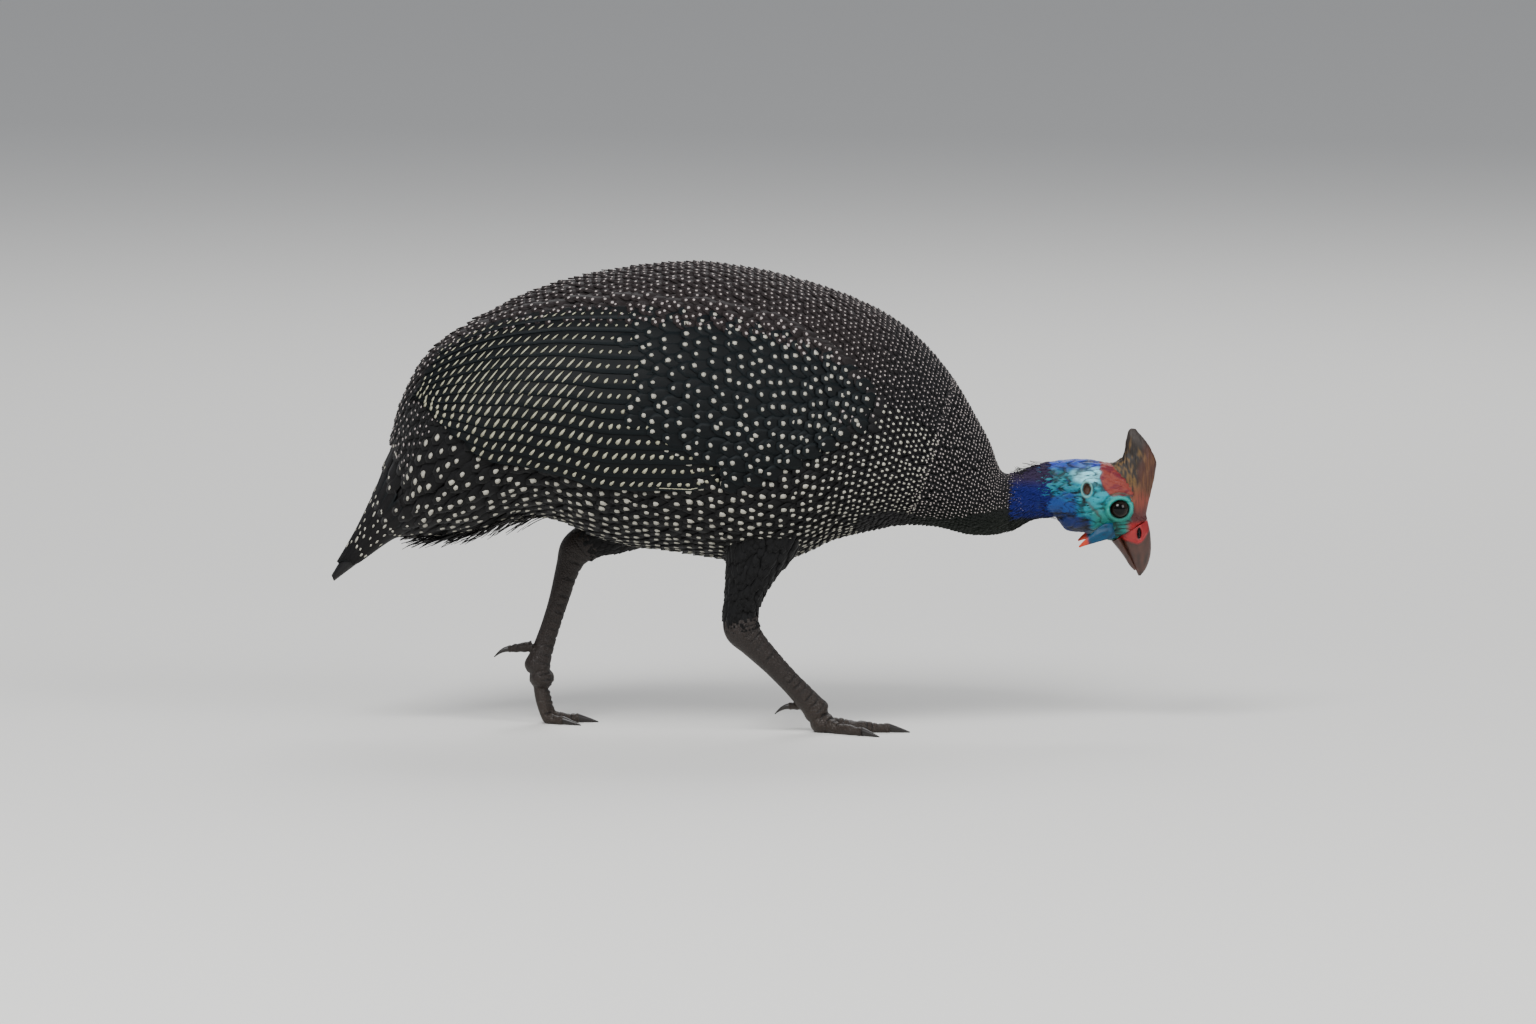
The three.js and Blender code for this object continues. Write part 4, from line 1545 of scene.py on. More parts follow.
    def build(self) -> None:
        """Build the wing and take the place of its solid."""
        self.flight_sheets().build(
            f"flights_{self.name}", self.flight, "plumage", f"wing_{self.name}"
        )
        join([self.dashes(), self.edge_line()]).build(
            f"dashes_{self.name}", self.white, "plumage"
        )
        self.build_cover()
        station, angle, gap = self.covert_roots()
        length = gap * 2.7
        pace = self.body.station_mm(station, angle)
        high, low = patch_edges(station)
        inner = np.minimum(np.abs(angle) - high, low - np.abs(angle))
        coverts = Feathers(
            self.body,
            np.minimum(station + length / pace, 13.6),
            angle,
            length,
            gap * 1.35,
            -0.6 - 2.8 * np.maximum(smooth(station, 11.0, 12.0), 1 - smooth(inner, 4, 10)),
            RNG.uniform(1.9, 2.5, len(gap)),
            lean=RNG.uniform(-5, 5, len(gap)),
            columns=5,
        )
        coverts.build(self._covert_pigment).build(
            f"coverts_{self.name}", self.flight, "plumage"
        )
        size = RNG.uniform(2.1, 3.0, len(gap))
        coverts.spots(0.85, 0.0, size, Hue.WHITE_SPOT.rgb, RNG.uniform(0.9, 1.4, len(gap))).build(
            f"covert_spots_{self.name}", self.white, "plumage"
        )
        LOG.info("wing %s: %d flights, %d coverts", self.name, self.flights, len(gap))

    @staticmethod
    def _covert_pigment(points: Array, station: Array, along: Array, across: Array) -> Array:
        """Paint coverts blue-black with a slightly paler rim."""
        rim = smooth(np.maximum(along, np.abs(across)), 0.8, 1.0)
        return mix(Hue.WING.rgb * 0.85, Hue.WING_EDGE.rgb, rim * 0.6)


@dataclass
class Tail:
    """The drooping tail: quills fanned over both sides, tips apart."""

    body: BodySurface
    flight: Material
    white: Material
    pairs: int = 7
    root: float = 3.6
    quill_wide: float = 17.0
    reach: tuple[float, float] = (3.35, 2.6)
    spot_places: tuple[tuple[float, float], ...] = (
        (0.3, -0.3),
        (0.45, 0.4),
        (0.58, -0.35),
        (0.7, 0.35),
        (0.81, -0.2),
    )

    def build(self) -> None:
        """Build the quills and their few spots."""
        side = np.repeat([1, -1], self.pairs)
        step = np.tile(np.arange(self.pairs), 2)
        angle = side * (8 + step * 20.0)
        reach = np.interp(step, [0, self.pairs - 1], self.reach)
        pace = self.body.station_mm(np.full(len(step), 1.8), angle)
        count = len(step)
        quills = Feathers(
            self.body,
            np.full(count, self.root),
            angle,
            reach * pace,
            self.quill_wide,
            -1.0,
            0.9 - step * 0.1,
            rows=14,
            columns=5,
            curl=0.9,
            point=0.2,
            thick=0.4,
        )
        quills.build(self._pigment).build("tail_quills", self.flight, "plumage")
        spots = [
            quills.spots(
                along + RNG.uniform(-0.06, 0.06, count),
                across,
                RNG.uniform(1.3, 2.1, count),
                Hue.WHITE_SPOT.rgb,
                RNG.uniform(1.3, 2.2, count),
            )
            for along, across in self.spot_places
        ]
        join(spots).build("tail_spots", self.white, "plumage")
        LOG.info("tail: %d quills", count)

    @staticmethod
    def _pigment(points: Array, station: Array, along: Array, across: Array) -> Array:
        """Paint the quills black with a faint paler edge.

        Args:
            points: Not used.
            station: Not used.
            along: Not used.
            across: Share across the quill, from -1 to 1.

        Returns:
            Linear colours.
        """
        edge = smooth(np.abs(across), 0.7, 1.0)
        shaft = 1 + 0.9 * band(across, 0.0, 0.12)
        return mix(Hue.TAIL.rgb * 0.7, Hue.WING_EDGE.rgb, edge * 0.6) * shaft[..., None]


@dataclass(frozen=True)
class Strands:
    """One kind of loose feather, as ranges of what its strands have.

    station and angle place the roots, which are sunk by depth, and tip is the rise of the tips.
    """

    name: str
    station: tuple[float, float]
    angle: tuple[float, float]
    count: int
    length: tuple[float, float]
    width: float
    tip: tuple[float, float]
    depth: float
    paint: Callable[..., Array] = belly_pigment


@dataclass
class Fringe:
    """Loose feathers: fluff under the vent, hair on nape and cheeks, the collar's filaments."""

    body: BodySurface
    feather: Material
    kinds: tuple[Strands, ...] = (
        Strands("vent_fluff", (4.6, 8.2), (158, 202), 150, (16, 30), 2.6, (1.5, 7), 3.0),
        Strands("nape_hair", (19.4, 20.8), (-26, 26), 34, (4, 10), 0.35, (1, 5), 0.3),
        Strands("cheek_hair", (20.6, 23.4), (50, 310), 190, (2, 4), 0.28, (0.2, 0.7), 0.2),
        Strands(
            "collar", (19.1, 21.0), (0, 360), 1500, (3, 6), 0.6, (0.1, 0.7), 0.2, collar_pigment
        ),
    )

    def build(self) -> None:
        """Scatter every kind over its part of the body."""
        for kind in self.kinds:
            loose = Feathers(
                self.body,
                RNG.uniform(*kind.station, kind.count),
                RNG.uniform(*kind.angle, kind.count),
                RNG.uniform(*kind.length, kind.count),
                kind.width,
                -kind.depth,
                RNG.uniform(*kind.tip, kind.count),
                lean=RNG.uniform(-22, 22, kind.count),
                rows=6,
                columns=3,
                curl=0.1,
                point=0.08,
                thick=min(0.25, kind.width * 0.5),
            )
            loose.build(kind.paint).build(kind.name, self.feather, "plumage")
            LOG.info("%s: %d strands", kind.name, kind.count)


# Skin


@dataclass
class Skin:
    """One skin from the tail to the bill, bare on the head with lids, ear cups and folds.

    Its relief and pigment are set out in the side view: x, y and z are compared with places in
    millimetres, and from_eye and from_ear are 1 at the rim of the eye and of the ear cup.
    """

    body: BodySurface
    coat: Coat
    finish: Material
    eye: tuple[float, float] = (232.8, 138.0)
    ear: tuple[float, float] = (212.6, 150.3)
    eye_size: tuple[float, float] = (7.1, 6.8)
    ear_size: tuple[float, float] = (2.7, 3.9)
    around: int = 200
    solids: tuple[str, ...] = ("torso", "tail", "neck_feathered", "neck_bare", "head")

    def _relief(self, points: Array, station: Array) -> Array:
        """Give the head's relief in millimetres off its plain shape.

        Args:
            points: Points on the plain shape.
            station: Their stations.

        Returns:
            The rise of each point.
        """
        x, y, z = points[..., 0], np.abs(points[..., 1]), points[..., 2]
        lateral = smooth(y, 6, 10)
        from_eye = near(x, z, self.eye, self.eye_size)
        above = smooth(z, self.eye[1] - 5, self.eye[1] + 5)
        lid = (1.2 + 1.1 * above) * band(from_eye, 1.02, 0.2)
        crease = -0.7 * band(from_eye, 1.46, 0.1) * above
        bag = -0.45 * band(from_eye, 1.34, 0.08) * (1 - above)
        socket = -4.5 * (1 - smooth(from_eye, 0.6, 0.84))
        from_ear = near(x, z, self.ear, self.ear_size)
        rim = 1.0 * band(from_ear, 1.2, 0.26)
        cup = -2.8 * (1 - smooth(from_ear, 0.45, 1.0))
        calm = smooth(from_eye, 1.2, 1.7) * smooth(from_ear, 1.5, 2.0)
        throat = 2.2 * band(x, 200, 11) * smooth(132 - z, 0, 7)
        throat = throat - 0.9 * band(z - 0.25 * (x - 200), 132.5, 0.9) * smooth(x, 188, 192)
        patch = 0.7 * self._salmon(points) * smooth(y, 3, 7)
        bare = smooth(station, 20.1, 21.0)
        fine = self._wrinkles(points) * calm
        return bare * (lateral * (lid + crease + bag + socket + rim + cup) + fine + throat + patch)

    @staticmethod
    def _wrinkles(points: Array) -> Array:
        """Give the skin's wandering creases, pebbles and soft bulges in millimetres.

        Args:
            points: Points on the skin.

        Returns:
            The rise of each.
        """
        long = np.exp(-((mottle(points, 3.4, 5, (2.2, 1, 0.8)) / 0.22) ** 2))
        short = np.exp(-((mottle(points, 2.0, 6, (1.4, 1, 0.8)) / 0.25) ** 2))
        return 0.35 * mottle(points, 5.5, 7) - 0.5 * long - 0.22 * short

    @staticmethod
    def _salmon(points: Array) -> Array:
        """Give the bare reddish patch behind the casque's base, from 0 to 1.

        Args:
            points: Points on the skin.

        Returns:
            The patch's share at each.
        """
        x, z = points[..., 0], points[..., 2]
        uneven = mottle(points, 2.6, 11)
        rear = smooth(x + 0.9 * uneven, 220.6, 222.2)
        floor = 147.0 + 0.12 * (x - 230) ** 2 * (x < 230) + 0.5 * uneven
        return rear * smooth(z - floor + 0.9, -0.7, 0.9)

    def _pigment(self, points: Array, station: Array) -> Array:
        """Paint the bare head and neck, and the skin under the coat like the coat.

        Args:
            points: Points on the skin.
            station: Their stations.

        Returns:
            Linear colours.
        """
        x, z = points[..., 0], points[..., 2]
        side = smooth(np.abs(points[..., 1]), 5, 9)
        patchy, fine = mottle(points, 3.0, 21), mottle(points, 1.2, 22, (1.8, 1, 0.8))
        zero = np.zeros_like(x)
        plume = plumage_pigment(points, station, zero + 0.6, zero)
        skin = mix(Hue.CYAN.rgb, Hue.TURQUOISE.rgb, 0.3 + 0.3 * patchy)
        skin = mix(skin, Hue.DEEP_BLUE.rgb, smooth(0.6 * patchy + 0.5 * fine, 0.3, 0.9) * 0.7)
        low = smooth(149 - z + 2.2 * patchy, -3, 6) * (1 - smooth(x, 203, 212))
        skin = mix(skin, Hue.DEEP_BLUE.rgb, low * 0.92)
        throat = smooth(134.5 - z + 1.2 * patchy, -1.5, 3) * (1 - smooth(x, 213, 220))
        skin = mix(skin, Hue.NAVY.rgb, throat)
        face = smooth(x + 1.5 * patchy, 204, 212) * (1 - smooth(z, 158, 166)) * (1 - throat)
        skin = mix(skin, Hue.FACE.rgb, face * 0.85)
        cheek = smooth(x, 208, 219) * (1 - smooth(z + 1.5 * patchy, 133, 145)) * (1 - throat)
        skin = mix(skin, Hue.TURQUOISE.rgb, cheek * 0.9)
        pale = 1 - smooth(near(x, z, (213.5, 159.5), (10, 6)) + 0.18 * patchy, 0.6, 1.3)
        skin = mix(skin, Hue.PALE_CYAN.rgb, pale)
        top = smooth(z + 0.7 * patchy, 160.5, 164.5) * (1 - smooth(x, 220, 226))
        skin = mix(skin, Hue.VIOLET.rgb, top * (0.75 + 0.2 * fine))
        line = (z - 146) + (x - 209) * 1.0
        streak = band(line + 1.6 * patchy, 0, 1.5) * smooth(x, 208, 211) * (1 - smooth(x, 219, 223))
        skin = mix(skin, Hue.EAR.rgb, streak * side * 0.7)
        # Painted shade: the skin is darkened in the low creases of its wrinkles, where shade would
        # fall.
        dark = np.clip(-self._wrinkles(points) - 0.1, 0, 0.45)
        skin = skin * (1 - dark * 1.8)[..., None]
        from_ear = near(x, z, self.ear, self.ear_size)
        skin = mix(skin, Hue.EAR_RIM.rgb, band(from_ear, 1.2, 0.16) * side * 0.8)
        skin = mix(skin, Hue.EAR.rgb, (1 - smooth(from_ear, 0.75, 1.15)) * side)
        red = self._salmon(points)
        tone = mix(Hue.SALMON.rgb, Hue.SALMON_EDGE.rgb, smooth(patchy + 0.6 * fine, -0.2, 0.9))
        skin = mix(skin, tone, red)
        edge = red * (1 - red) * 4
        skin = mix(skin, Hue.SALMON_EDGE.rgb, edge * 0.8)
        lore = smooth(x + 0.8 * patchy, 239.8, 241.6)
        skin = mix(skin, Hue.LORE.rgb, lore)
        skin = mix(skin, Hue.CERE.rgb, smooth(x, 236, 241) * (1 - smooth(z, 127, 131)))
        from_eye = near(x, z, self.eye, self.eye_size)
        lid = mix(Hue.TURQUOISE.rgb, Hue.LID.rgb, smooth(z, 131, 141))
        skin = mix(skin, lid, (1 - smooth(from_eye + 0.06 * patchy, 1.05, 1.35)) * side * 0.9)
        # Painted shade: a darker band is painted in the crease above the eye, where shade would
        # fall.
        fold = band(from_eye, 1.44, 0.08) * smooth(z, 134, 142) * side
        skin = mix(skin, Hue.TURQUOISE.rgb * 0.6, fold * 0.7)
        # Painted shade: the skin inside the eye opening is black, for the shade in the gap round
        # the eyeball.
        skin = mix(skin, Hue.BLACK.rgb, (1 - smooth(from_eye, 0.8, 0.92)) * side)
        return mix(plume, skin, smooth(station + 0.15 * patchy, 20.0, 20.4))

    def build(self) -> None:
        """Build the skin in the place of the solids of the flesh."""
        last = self.body.last - 0.02
        stations = np.concatenate(
            [np.linspace(0.05, 19.5, 150, endpoint=False), np.linspace(19.5, last, 300)]
        )
        angle = np.linspace(0, 360, self.around, endpoint=False)
        station, angle = np.meshgrid(stations, angle, indexing="ij")
        plain = self.body.point(station, angle, 0.0)
        rise = self._relief(plain, station) - self.coat.depth(station)
        points = self.body.point(station, angle, rise)
        colour = self._pigment(plain, station).reshape(-1, 3)
        verts, faces = tube(points)
        ends = np.stack([colour[0], colour[-1]])
        bake = tube_bake(self.body, station, angle)
        whole = Piece(verts, faces, np.concatenate([colour, ends]), bake)
        whole.build("skin", self.finish, "blue_skin", *self.solids)
        LOG.info("skin: %d points", len(verts))


# Head parts


def crest_rings(table: Array, count: int, around: int, square: float = 1.0) -> Array:
    """Make rings, each between a rear and a front point in the middle plane.

    Args:
        table: Rows of rear x, rear z, front x, front z and half width.
        count: How many rings.
        around: Points in a ring.
        square: Under 1 makes the rings fuller than ellipses.

    Returns:
        Points of shape (count, around, 3).
    """
    rows = resample(table, count)
    turn = np.linspace(0, 2 * np.pi, around, endpoint=False)
    cos, sin = np.cos(turn), np.sin(turn)
    cos = np.sign(cos) * np.abs(cos) ** square
    sin = np.sign(sin) * np.abs(sin) ** square
    x = (rows[:, 0:1] + rows[:, 2:3]) / 2 + (rows[:, 2:3] - rows[:, 0:1]) / 2 * cos
    z = (rows[:, 1:2] + rows[:, 3:4]) / 2 + (rows[:, 3:4] - rows[:, 1:2]) / 2 * cos
    return np.stack([x, rows[:, 4:5] * sin, z], axis=-1)


@dataclass
class HeadParts:
    """The casque, the bill, the wattles and the eyes.

    Rows of casque, upper and lower are rear x, rear z, front x, front z and half width. Rows of
    wattle are x, z, half depth and half thickness.
    """

    casque_horn: Material
    bill_horn: Material
    skin: Material
    wet: Material
    casque: tuple[tuple[float, ...], ...] = (
        (221.5, 153.0, 246.0, 128.0, 11.9),
        (222.2, 158.5, 249.2, 132.0, 11.4),
        (224.0, 163.5, 250.4, 137.0, 10.5),
        (232.2, 166.8, 252.6, 147.5, 8.6),
        (235.4, 169.8, 254.9, 157.5, 7.0),
        (236.7, 174.0, 255.6, 165.5, 5.8),
        (237.2, 179.0, 252.8, 173.6, 4.8),
        (237.7, 183.0, 248.6, 180.0, 3.8),
        (238.8, 185.7, 244.8, 184.4, 2.5),
        (240.3, 186.9, 243.1, 186.5, 1.0),
    )
    upper: tuple[tuple[float, ...], ...] = (
        (250.5, 130.0, 232.5, 119.6, 8.8),
        (252.0, 123.4, 234.1, 116.7, 8.2),
        (252.7, 116.6, 236.2, 112.3, 7.2),
        (252.7, 110.3, 238.7, 107.6, 6),
        (251.7, 104.7, 240.9, 103.2, 4.6),
        (249.6, 99.4, 243.0, 99.1, 3),
        (246.4, 95.1, 244.9, 95.1, 1.2),
    )
    lower: tuple[tuple[float, ...], ...] = (
        (233.8, 119.9, 228.2, 116.7, 7.8),
        (235.6, 116.7, 230.9, 113.5, 7),
        (237.8, 112.5, 233.7, 110.0, 6),
        (240.2, 107.9, 236.6, 105.9, 4.7),
        (242.3, 103.6, 239.2, 101.7, 3.4),
        (244.2, 99.4, 242.2, 98.4, 2.0),
    )
    wattle: tuple[tuple[float, ...], ...] = (
        (229.5, 125.0, 4.6, 1.6),
        (227.6, 124.6, 5.0, 1.9),
        (224.8, 124.1, 5.0, 2.0),
        (220.4, 122.0, 4.0, 1.7),
        (215.9, 119.6, 2.8, 1.5),
        (211.0, 117.0, 1.5, 1.1),
        (207.8, 114.9, 0.5, 0.5),
    )
    nostril: tuple[float, float] = (245.2, 122.2)
    nostril_size: tuple[float, float] = (1.4, 3.7)
    eye: tuple[float, float, float] = (232.8, 11.2, 138.0)
    eye_radius: float = 6.2

    def build_casque(self) -> None:
        """Build the bony helmet with its rough growth."""
        rings = crest_rings(self.casque, 150, 120, 0.9)
        z = rings[..., 2]
        fibre = mottle(rings, 1.6, 31, (0.8, 0.8, 4.0))
        lump = mottle(rings, 5.0, 32)
        out = unit(rings - rings.mean(axis=1, keepdims=True))
        rise = (0.3 * fibre + 0.35 * lump) * smooth(z, 138, 148) * (1 - smooth(z, 181, 186))
        rings = rings + out * rise[..., None]
        points, faces = tube(rings[:, ::-1])
        x, z = points[:, 0], points[:, 2]
        fibre = mottle(points, 1.3, 31, (0.8, 0.8, 4.0))
        patchy = mottle(points, 4.0, 33, (1, 1, 1.6))
        dark = smooth(0.7 * patchy + fibre + 0.05 * (z - 160), -0.8, 0.5)
        colour = mix(Hue.HORN.rgb, Hue.HORN_DARK.rgb, dark)
        rear = smooth(x - 0.15 * (z - 160) + patchy, 243, 249)
        colour = mix(colour, Hue.HORN_RED.rgb, rear * 0.6)
        colour = mix(colour, Hue.HORN_TIP.rgb, smooth(z + 2 * patchy, 172, 182) * 0.75)
        base = 1 - smooth(z + 0.45 * (x - 236) + 2.6 * patchy, 147, 158)
        colour = mix(colour, Hue.SALMON.rgb, base * np.clip(0.6 - 0.4 * fibre, 0, 1))
        colour = mix(colour, Hue.LORE.rgb, (1 - smooth(z + patchy, 134, 142)) * 0.8)
        Piece(points, faces, colour).build("casque_horn", self.casque_horn, "casque_horn", "casque")

    def build_bill(self) -> None:
        """Build the two halves of the bill, with the cere and the nostrils."""
        rings = crest_rings(self.upper, 110, 96, 0.95)
        x, y, z = rings[..., 0], rings[..., 1], rings[..., 2]
        slot = near(x, z, self.nostril, self.nostril_size)
        dent = 2.6 * (1 - smooth(slot, 0.5, 1.05)) - 0.5 * band(slot, 1.5, 0.35)
        fold = 0.45 * band(z - self._cere_line(x), 0.6, 0.7)
        rings[..., 1] = y - np.sign(y) * (dent - fold) * smooth(np.abs(y), 2.5, 4.5)
        self._half_bill(rings, "bill_upper")
        rings = crest_rings(self.lower, 70, 64, 0.9)
        self._half_bill(rings, "bill_lower")

    @staticmethod
    def _cere_line(x: Array) -> Array:
        """Give the height of the red cere's lower edge at each x."""
        return 115.2 + 0.28 * np.maximum(245 - x, 0) + 0.16 * np.maximum(x - 244, 0) ** 2

    def _half_bill(self, rings: Array, node: str) -> None:
        """Paint half a bill and build it in the place of its solid.

        Args:
            rings: Its rings of points.
            node: The solid that it replaces.
        """
        points, faces = tube(rings[:, ::-1])
        x, z = points[:, 0], points[:, 2]
        fibre = mottle(points, 1.6, 41, (1, 1, 4))
        colour = mix(Hue.BILL.rgb, Hue.HORN_DARK.rgb, 0.35 + 0.35 * fibre)
        red = smooth(z - self._cere_line(x) + 0.6 * fibre, -0.8, 1.4)
        colour = mix(colour, Hue.CERE.rgb * (1 - 0.2 * fibre[:, None]), red)
        # Painted shade: the nostril's slot is painted black, for the shade inside its opening.
        slot = near(x, z, self.nostril, self.nostril_size)
        side = smooth(np.abs(points[:, 1]), 2.5, 4.5)
        colour = mix(colour, Hue.BLACK.rgb, (1 - smooth(slot, 0.85, 1.15)) * side)
        Piece(points, faces, colour).build(f"{node}_horn", self.bill_horn, "bill_horn", node)

    def build_wattle(self, name: str, side: int) -> None:
        """Build one fleshy wattle.

        Args:
            name: left or right.
            side: 1 for left, -1 for right.
        """
        rows = resample(self.wattle, 60)
        turn = np.linspace(0, 2 * np.pi, 40, endpoint=False)
        slope = unit(np.gradient(rows[:, :2], axis=0))
        share = np.linspace(0, 1, len(rows))
        out = 13.6 + 5.2 * share + 0.5 * np.sin(share * 9)
        deep = rows[:, 2:3] * np.cos(turn)
        x = rows[:, 0:1] - slope[:, 1:2] * deep
        z = rows[:, 1:2] + slope[:, 0:1] * deep
        fold = 0.3 * np.sin(deep * 1.3 + share[:, None] * 5)
        y = side * (out[:, None] + rows[:, 3:4] * np.sin(turn) + fold)
        rings = np.stack([x, y, z], axis=-1)
        points, faces = tube(rings if side < 0 else rings[:, ::-1])
        uneven = mottle(points, 2.2, 51)
        red = smooth(213.6 - points[:, 0] + 0.5 * uneven, -0.6, 1.4)
        colour = mix(Hue.WATTLE.rgb, Hue.WATTLE.rgb * 0.6, smooth(uneven, 0, 1))
        colour = mix(colour, Hue.WATTLE_TIP.rgb, red)
        Piece(points, faces, colour).build(
            f"wattle_{name}_skin", self.skin, "wattle_skin", f"wattle_{name}"
        )

    def build_eye(self, name: str, side: int) -> None:
        """Build one eyeball.

        Args:
            name: left or right.
            side: 1 for left, -1 for right.
        """
        polar = np.linspace(0.06, math.pi - 0.06, 40)
        turn = np.linspace(0, 2 * np.pi, 48, endpoint=False)
        ring = np.stack(
            [
                np.sin(polar)[:, None] * np.cos(turn),
                np.broadcast_to(-side * np.cos(polar)[:, None], (40, 48)),
                np.sin(polar)[:, None] * np.sin(turn),
            ],
            axis=-1,
        )
        centre = np.array([self.eye[0], side * self.eye[1], self.eye[2]])
        rings = centre + ring * self.eye_radius
        points, faces = tube(rings if side > 0 else rings[:, ::-1])
        out = np.abs(points[:, 1]) - self.eye[1]
        pupil = smooth(out / self.eye_radius, 0.8, 0.86)
        colour = mix(Hue.IRIS.rgb, Hue.BLACK.rgb * 0.4, pupil)
        Piece(points, faces[:, ::-1], colour).build(
            f"eyeball_{name}", self.wet, "eye", f"eye_{name}"
        )

    def build(self) -> None:
        """Build every part of the head that stands apart from the skin."""
        self.build_casque()
        self.build_bill()
        for name, side in SIDES.items():
            self.build_wattle(name, side)
            self.build_eye(name, side)
        LOG.info("head parts done")


# Legs


@dataclass
class Leg:
    """A leg: a feathered thigh, a scaled shank, a foot with four toes and their claws.

    bare_from is the stop where the feathers end, foot the middle of the ball of the foot, and
    heading where the middle toe points, in degrees from +X. A toe on the floor is pressed flat,
    so its middle stands by sole, a share of its half thickness, over the floor. hind_rise is how
    high over the ball the hind toe springs, on a planted and on a raised foot. pad is the length
    and the half depth and half width of the pad under the ball.
    """

    name: str
    side: int
    scales: Material
    claws: Material
    feather: Material
    stops: tuple[tuple[float, ...], ...]
    bare_from: int
    foot: tuple[float, float, float]
    heading: float
    claw_long: float = 12.0
    gap: float = 0.3
    shank_plate: float = 5.4
    toe_plate: float = 3.6
    seam_wide: float = 0.12
    seam_deep: float = 0.5
    weld_grid: float = 0.55
    down_count: int = 620
    raised_from: float = 20.0
    sole: float = 0.86
    hind_rise: tuple[float, float] = (5.0, 13.0)
    pad: tuple[float, float, float] = (16.0, 7.0, 9.0)
    pad_back: float = 5.0
    pad_drop: float = 6.8

    # The turn of each toe in degrees, its length and its half thickness in millimetres
    TOES: ClassVar[dict[str, tuple[float, float, float]]] = {
        "inner": (34, 33, 4.4),
        "middle": (0, 45, 4.8),
        "outer": (-34, 36, 4.4),
        "hind": (180, 15, 3.6),
    }

    @property
    def raised(self) -> bool:
        """Tell whether the foot is pushing off with its ball raised."""
        return self.foot[2] > self.raised_from

    def toe_path(self, toe: str, count: int = 34) -> Array:
        """Give a toe's path from the ball of the foot to the root of its claw.

        Args:
            toe: The toe's name.
            count: How many stops.

        Returns:
            Rows of x, y, z and half thickness.
        """
        turn, long, thick = self.TOES[toe]
        x, y, z = self.foot
        turned = turn if toe == "hind" else -self.side * turn
        course = math.radians(self.heading + turned)
        u = np.linspace(0, 1, count)
        girth = thick * (1 - 0.38 * u) * (1 + 0.07 * np.cos(u * 6 * np.pi))
        reach = u * long
        height = z - 6 + (girth * self.sole - z + 6) * np.minimum(1, u * 2.4)
        if toe == "hind":
            height = z + self.hind_rise[self.raised] - u * 1.5
            reach = 3 + u * long
        elif self.raised:
            height = z - 3 + (girth * self.sole - z + 3) * smooth(u, 0, 0.62)
            reach = long * (0.16 * u + 0.42 * u * u)
        return np.stack(
            [x + math.cos(course) * reach, y + math.sin(course) * reach, height, girth], axis=-1
        )

    def _tube(self, path: Array, around: int = 28) -> tuple[Array, Array]:
        """Make a round closed tube along rows of x, y, z, depth and width.

        Args:
            path: The rows.
            around: Points in a ring.

        Returns:
            Points and faces.
        """
        surface = LimbSurface(tuple(map(tuple, path)))
        count = len(path)
        station, angle = np.meshgrid(
            np.linspace(0, count - 1, count * 2 - 1),
            np.linspace(0, 360, around, endpoint=False),
            indexing="ij",
        )
        return tube(surface.point(station, angle))

    def build_foot(self) -> None:
        """Build shank, foot and toes as one skin with raised scales."""
        x, y, z = self.foot
        lofts = [self._tube(resample(self.stops[self.bare_from :], 60))]
        for toe in self.TOES:
            path = self.toe_path(toe)
            lofts.append(self._tube(np.column_stack([path, path[:, 3]])))
        long, deep, wide = self.pad
        share = np.linspace(0.02, 0.98, 9)
        pad = np.array([[x - self.pad_back + long * t, y, z - self.pad_drop] for t in share])
        swell = np.sqrt(1 - (2 * share - 1) ** 2)
        lofts.append(self._tube(np.column_stack([pad, deep * swell, wide * swell])))
        made = join([Piece(p, f, np.zeros_like(p)) for p, f in lofts]).build(
            f"leg_{self.name}_scales",
            self.scales,
            "leg_scale",
            f"shank_{self.name}",
            f"foot_{self.name}",
        )
        self._weld(made)
        self._scale(made)

    def _weld(self, made: bpy.types.Object) -> None:
        """Melt the lofts of a leg into one closed skin.

        Args:
            made: The leg as separate lofts.
        """
        melt = made.modifiers.new("melt", "REMESH")
        melt.mode = "VOXEL"
        melt.voxel_size = self.weld_grid * MM
        relax = made.modifiers.new("relax", "SMOOTH")
        relax.iterations = 6
        graph = bpy.context.evaluated_depsgraph_get()
        mesh = bpy.data.meshes.new_from_object(made.evaluated_get(graph))
        old = made.data
        mesh.materials.clear()
        mesh.materials.append(old.materials[0])
        made.modifiers.clear()
        made.data = mesh
        bpy.data.meshes.remove(old)

    def _scale(self, made: bpy.types.Object) -> None:
        """Press the seams of the plates into the skin, trim its soles and paint it.

        Args:
            made: The welded leg.
        """
        mesh = made.data
        points, normals = vertex_rows(mesh, "co") / MM, vertex_rows(mesh, "normal")
        paths = [(resample(self.stops[self.bare_from :], 300)[:, :3], self.shank_plate)]
        paths += [(self.toe_path(toe, 160)[:, :3], self.toe_plate) for toe in self.TOES]
        best = np.full(len(points), np.inf)
        seam = np.zeros(len(points))
        for path, plate in paths:
            steps = np.linalg.norm(np.diff(path, axis=0), axis=1)
            length = np.concatenate([[0], np.cumsum(steps)])
            gap = np.linalg.norm(points[:, None] - path[None, ::4], axis=2)
            nearest = gap.argmin(axis=1)
            distance = gap[np.arange(len(points)), nearest]
            phase = (length[::4][nearest] / plate + points[:, 1] * 0.02) % 1
            groove = band(np.minimum(phase, 1 - phase), 0, self.seam_wide)
            closer = distance < best
            seam = np.where(closer, groove, seam)
            best = np.minimum(best, distance)
        front = smooth(normals[:, 0] + 0.35 * normals[:, 2], -0.3, 0.2)
        points = points - normals * (self.seam_deep * seam * front)[:, None]
        points[:, 2] = np.maximum(points[:, 2], 0.0)
        mesh.vertices.foreach_set("co", (points * MM).astype(np.float32).ravel())
        mesh.polygons.foreach_set("use_smooth", np.ones(len(mesh.polygons), bool))
        colour = mix(Hue.LEG.rgb, Hue.LEG_PALE.rgb, 0.5 * smooth(points[:, 2], 40, 0))
        colour = mix(colour, Hue.LEG.rgb * 0.5, seam * front)
        store_pigment(mesh, colour)
        mesh.update()

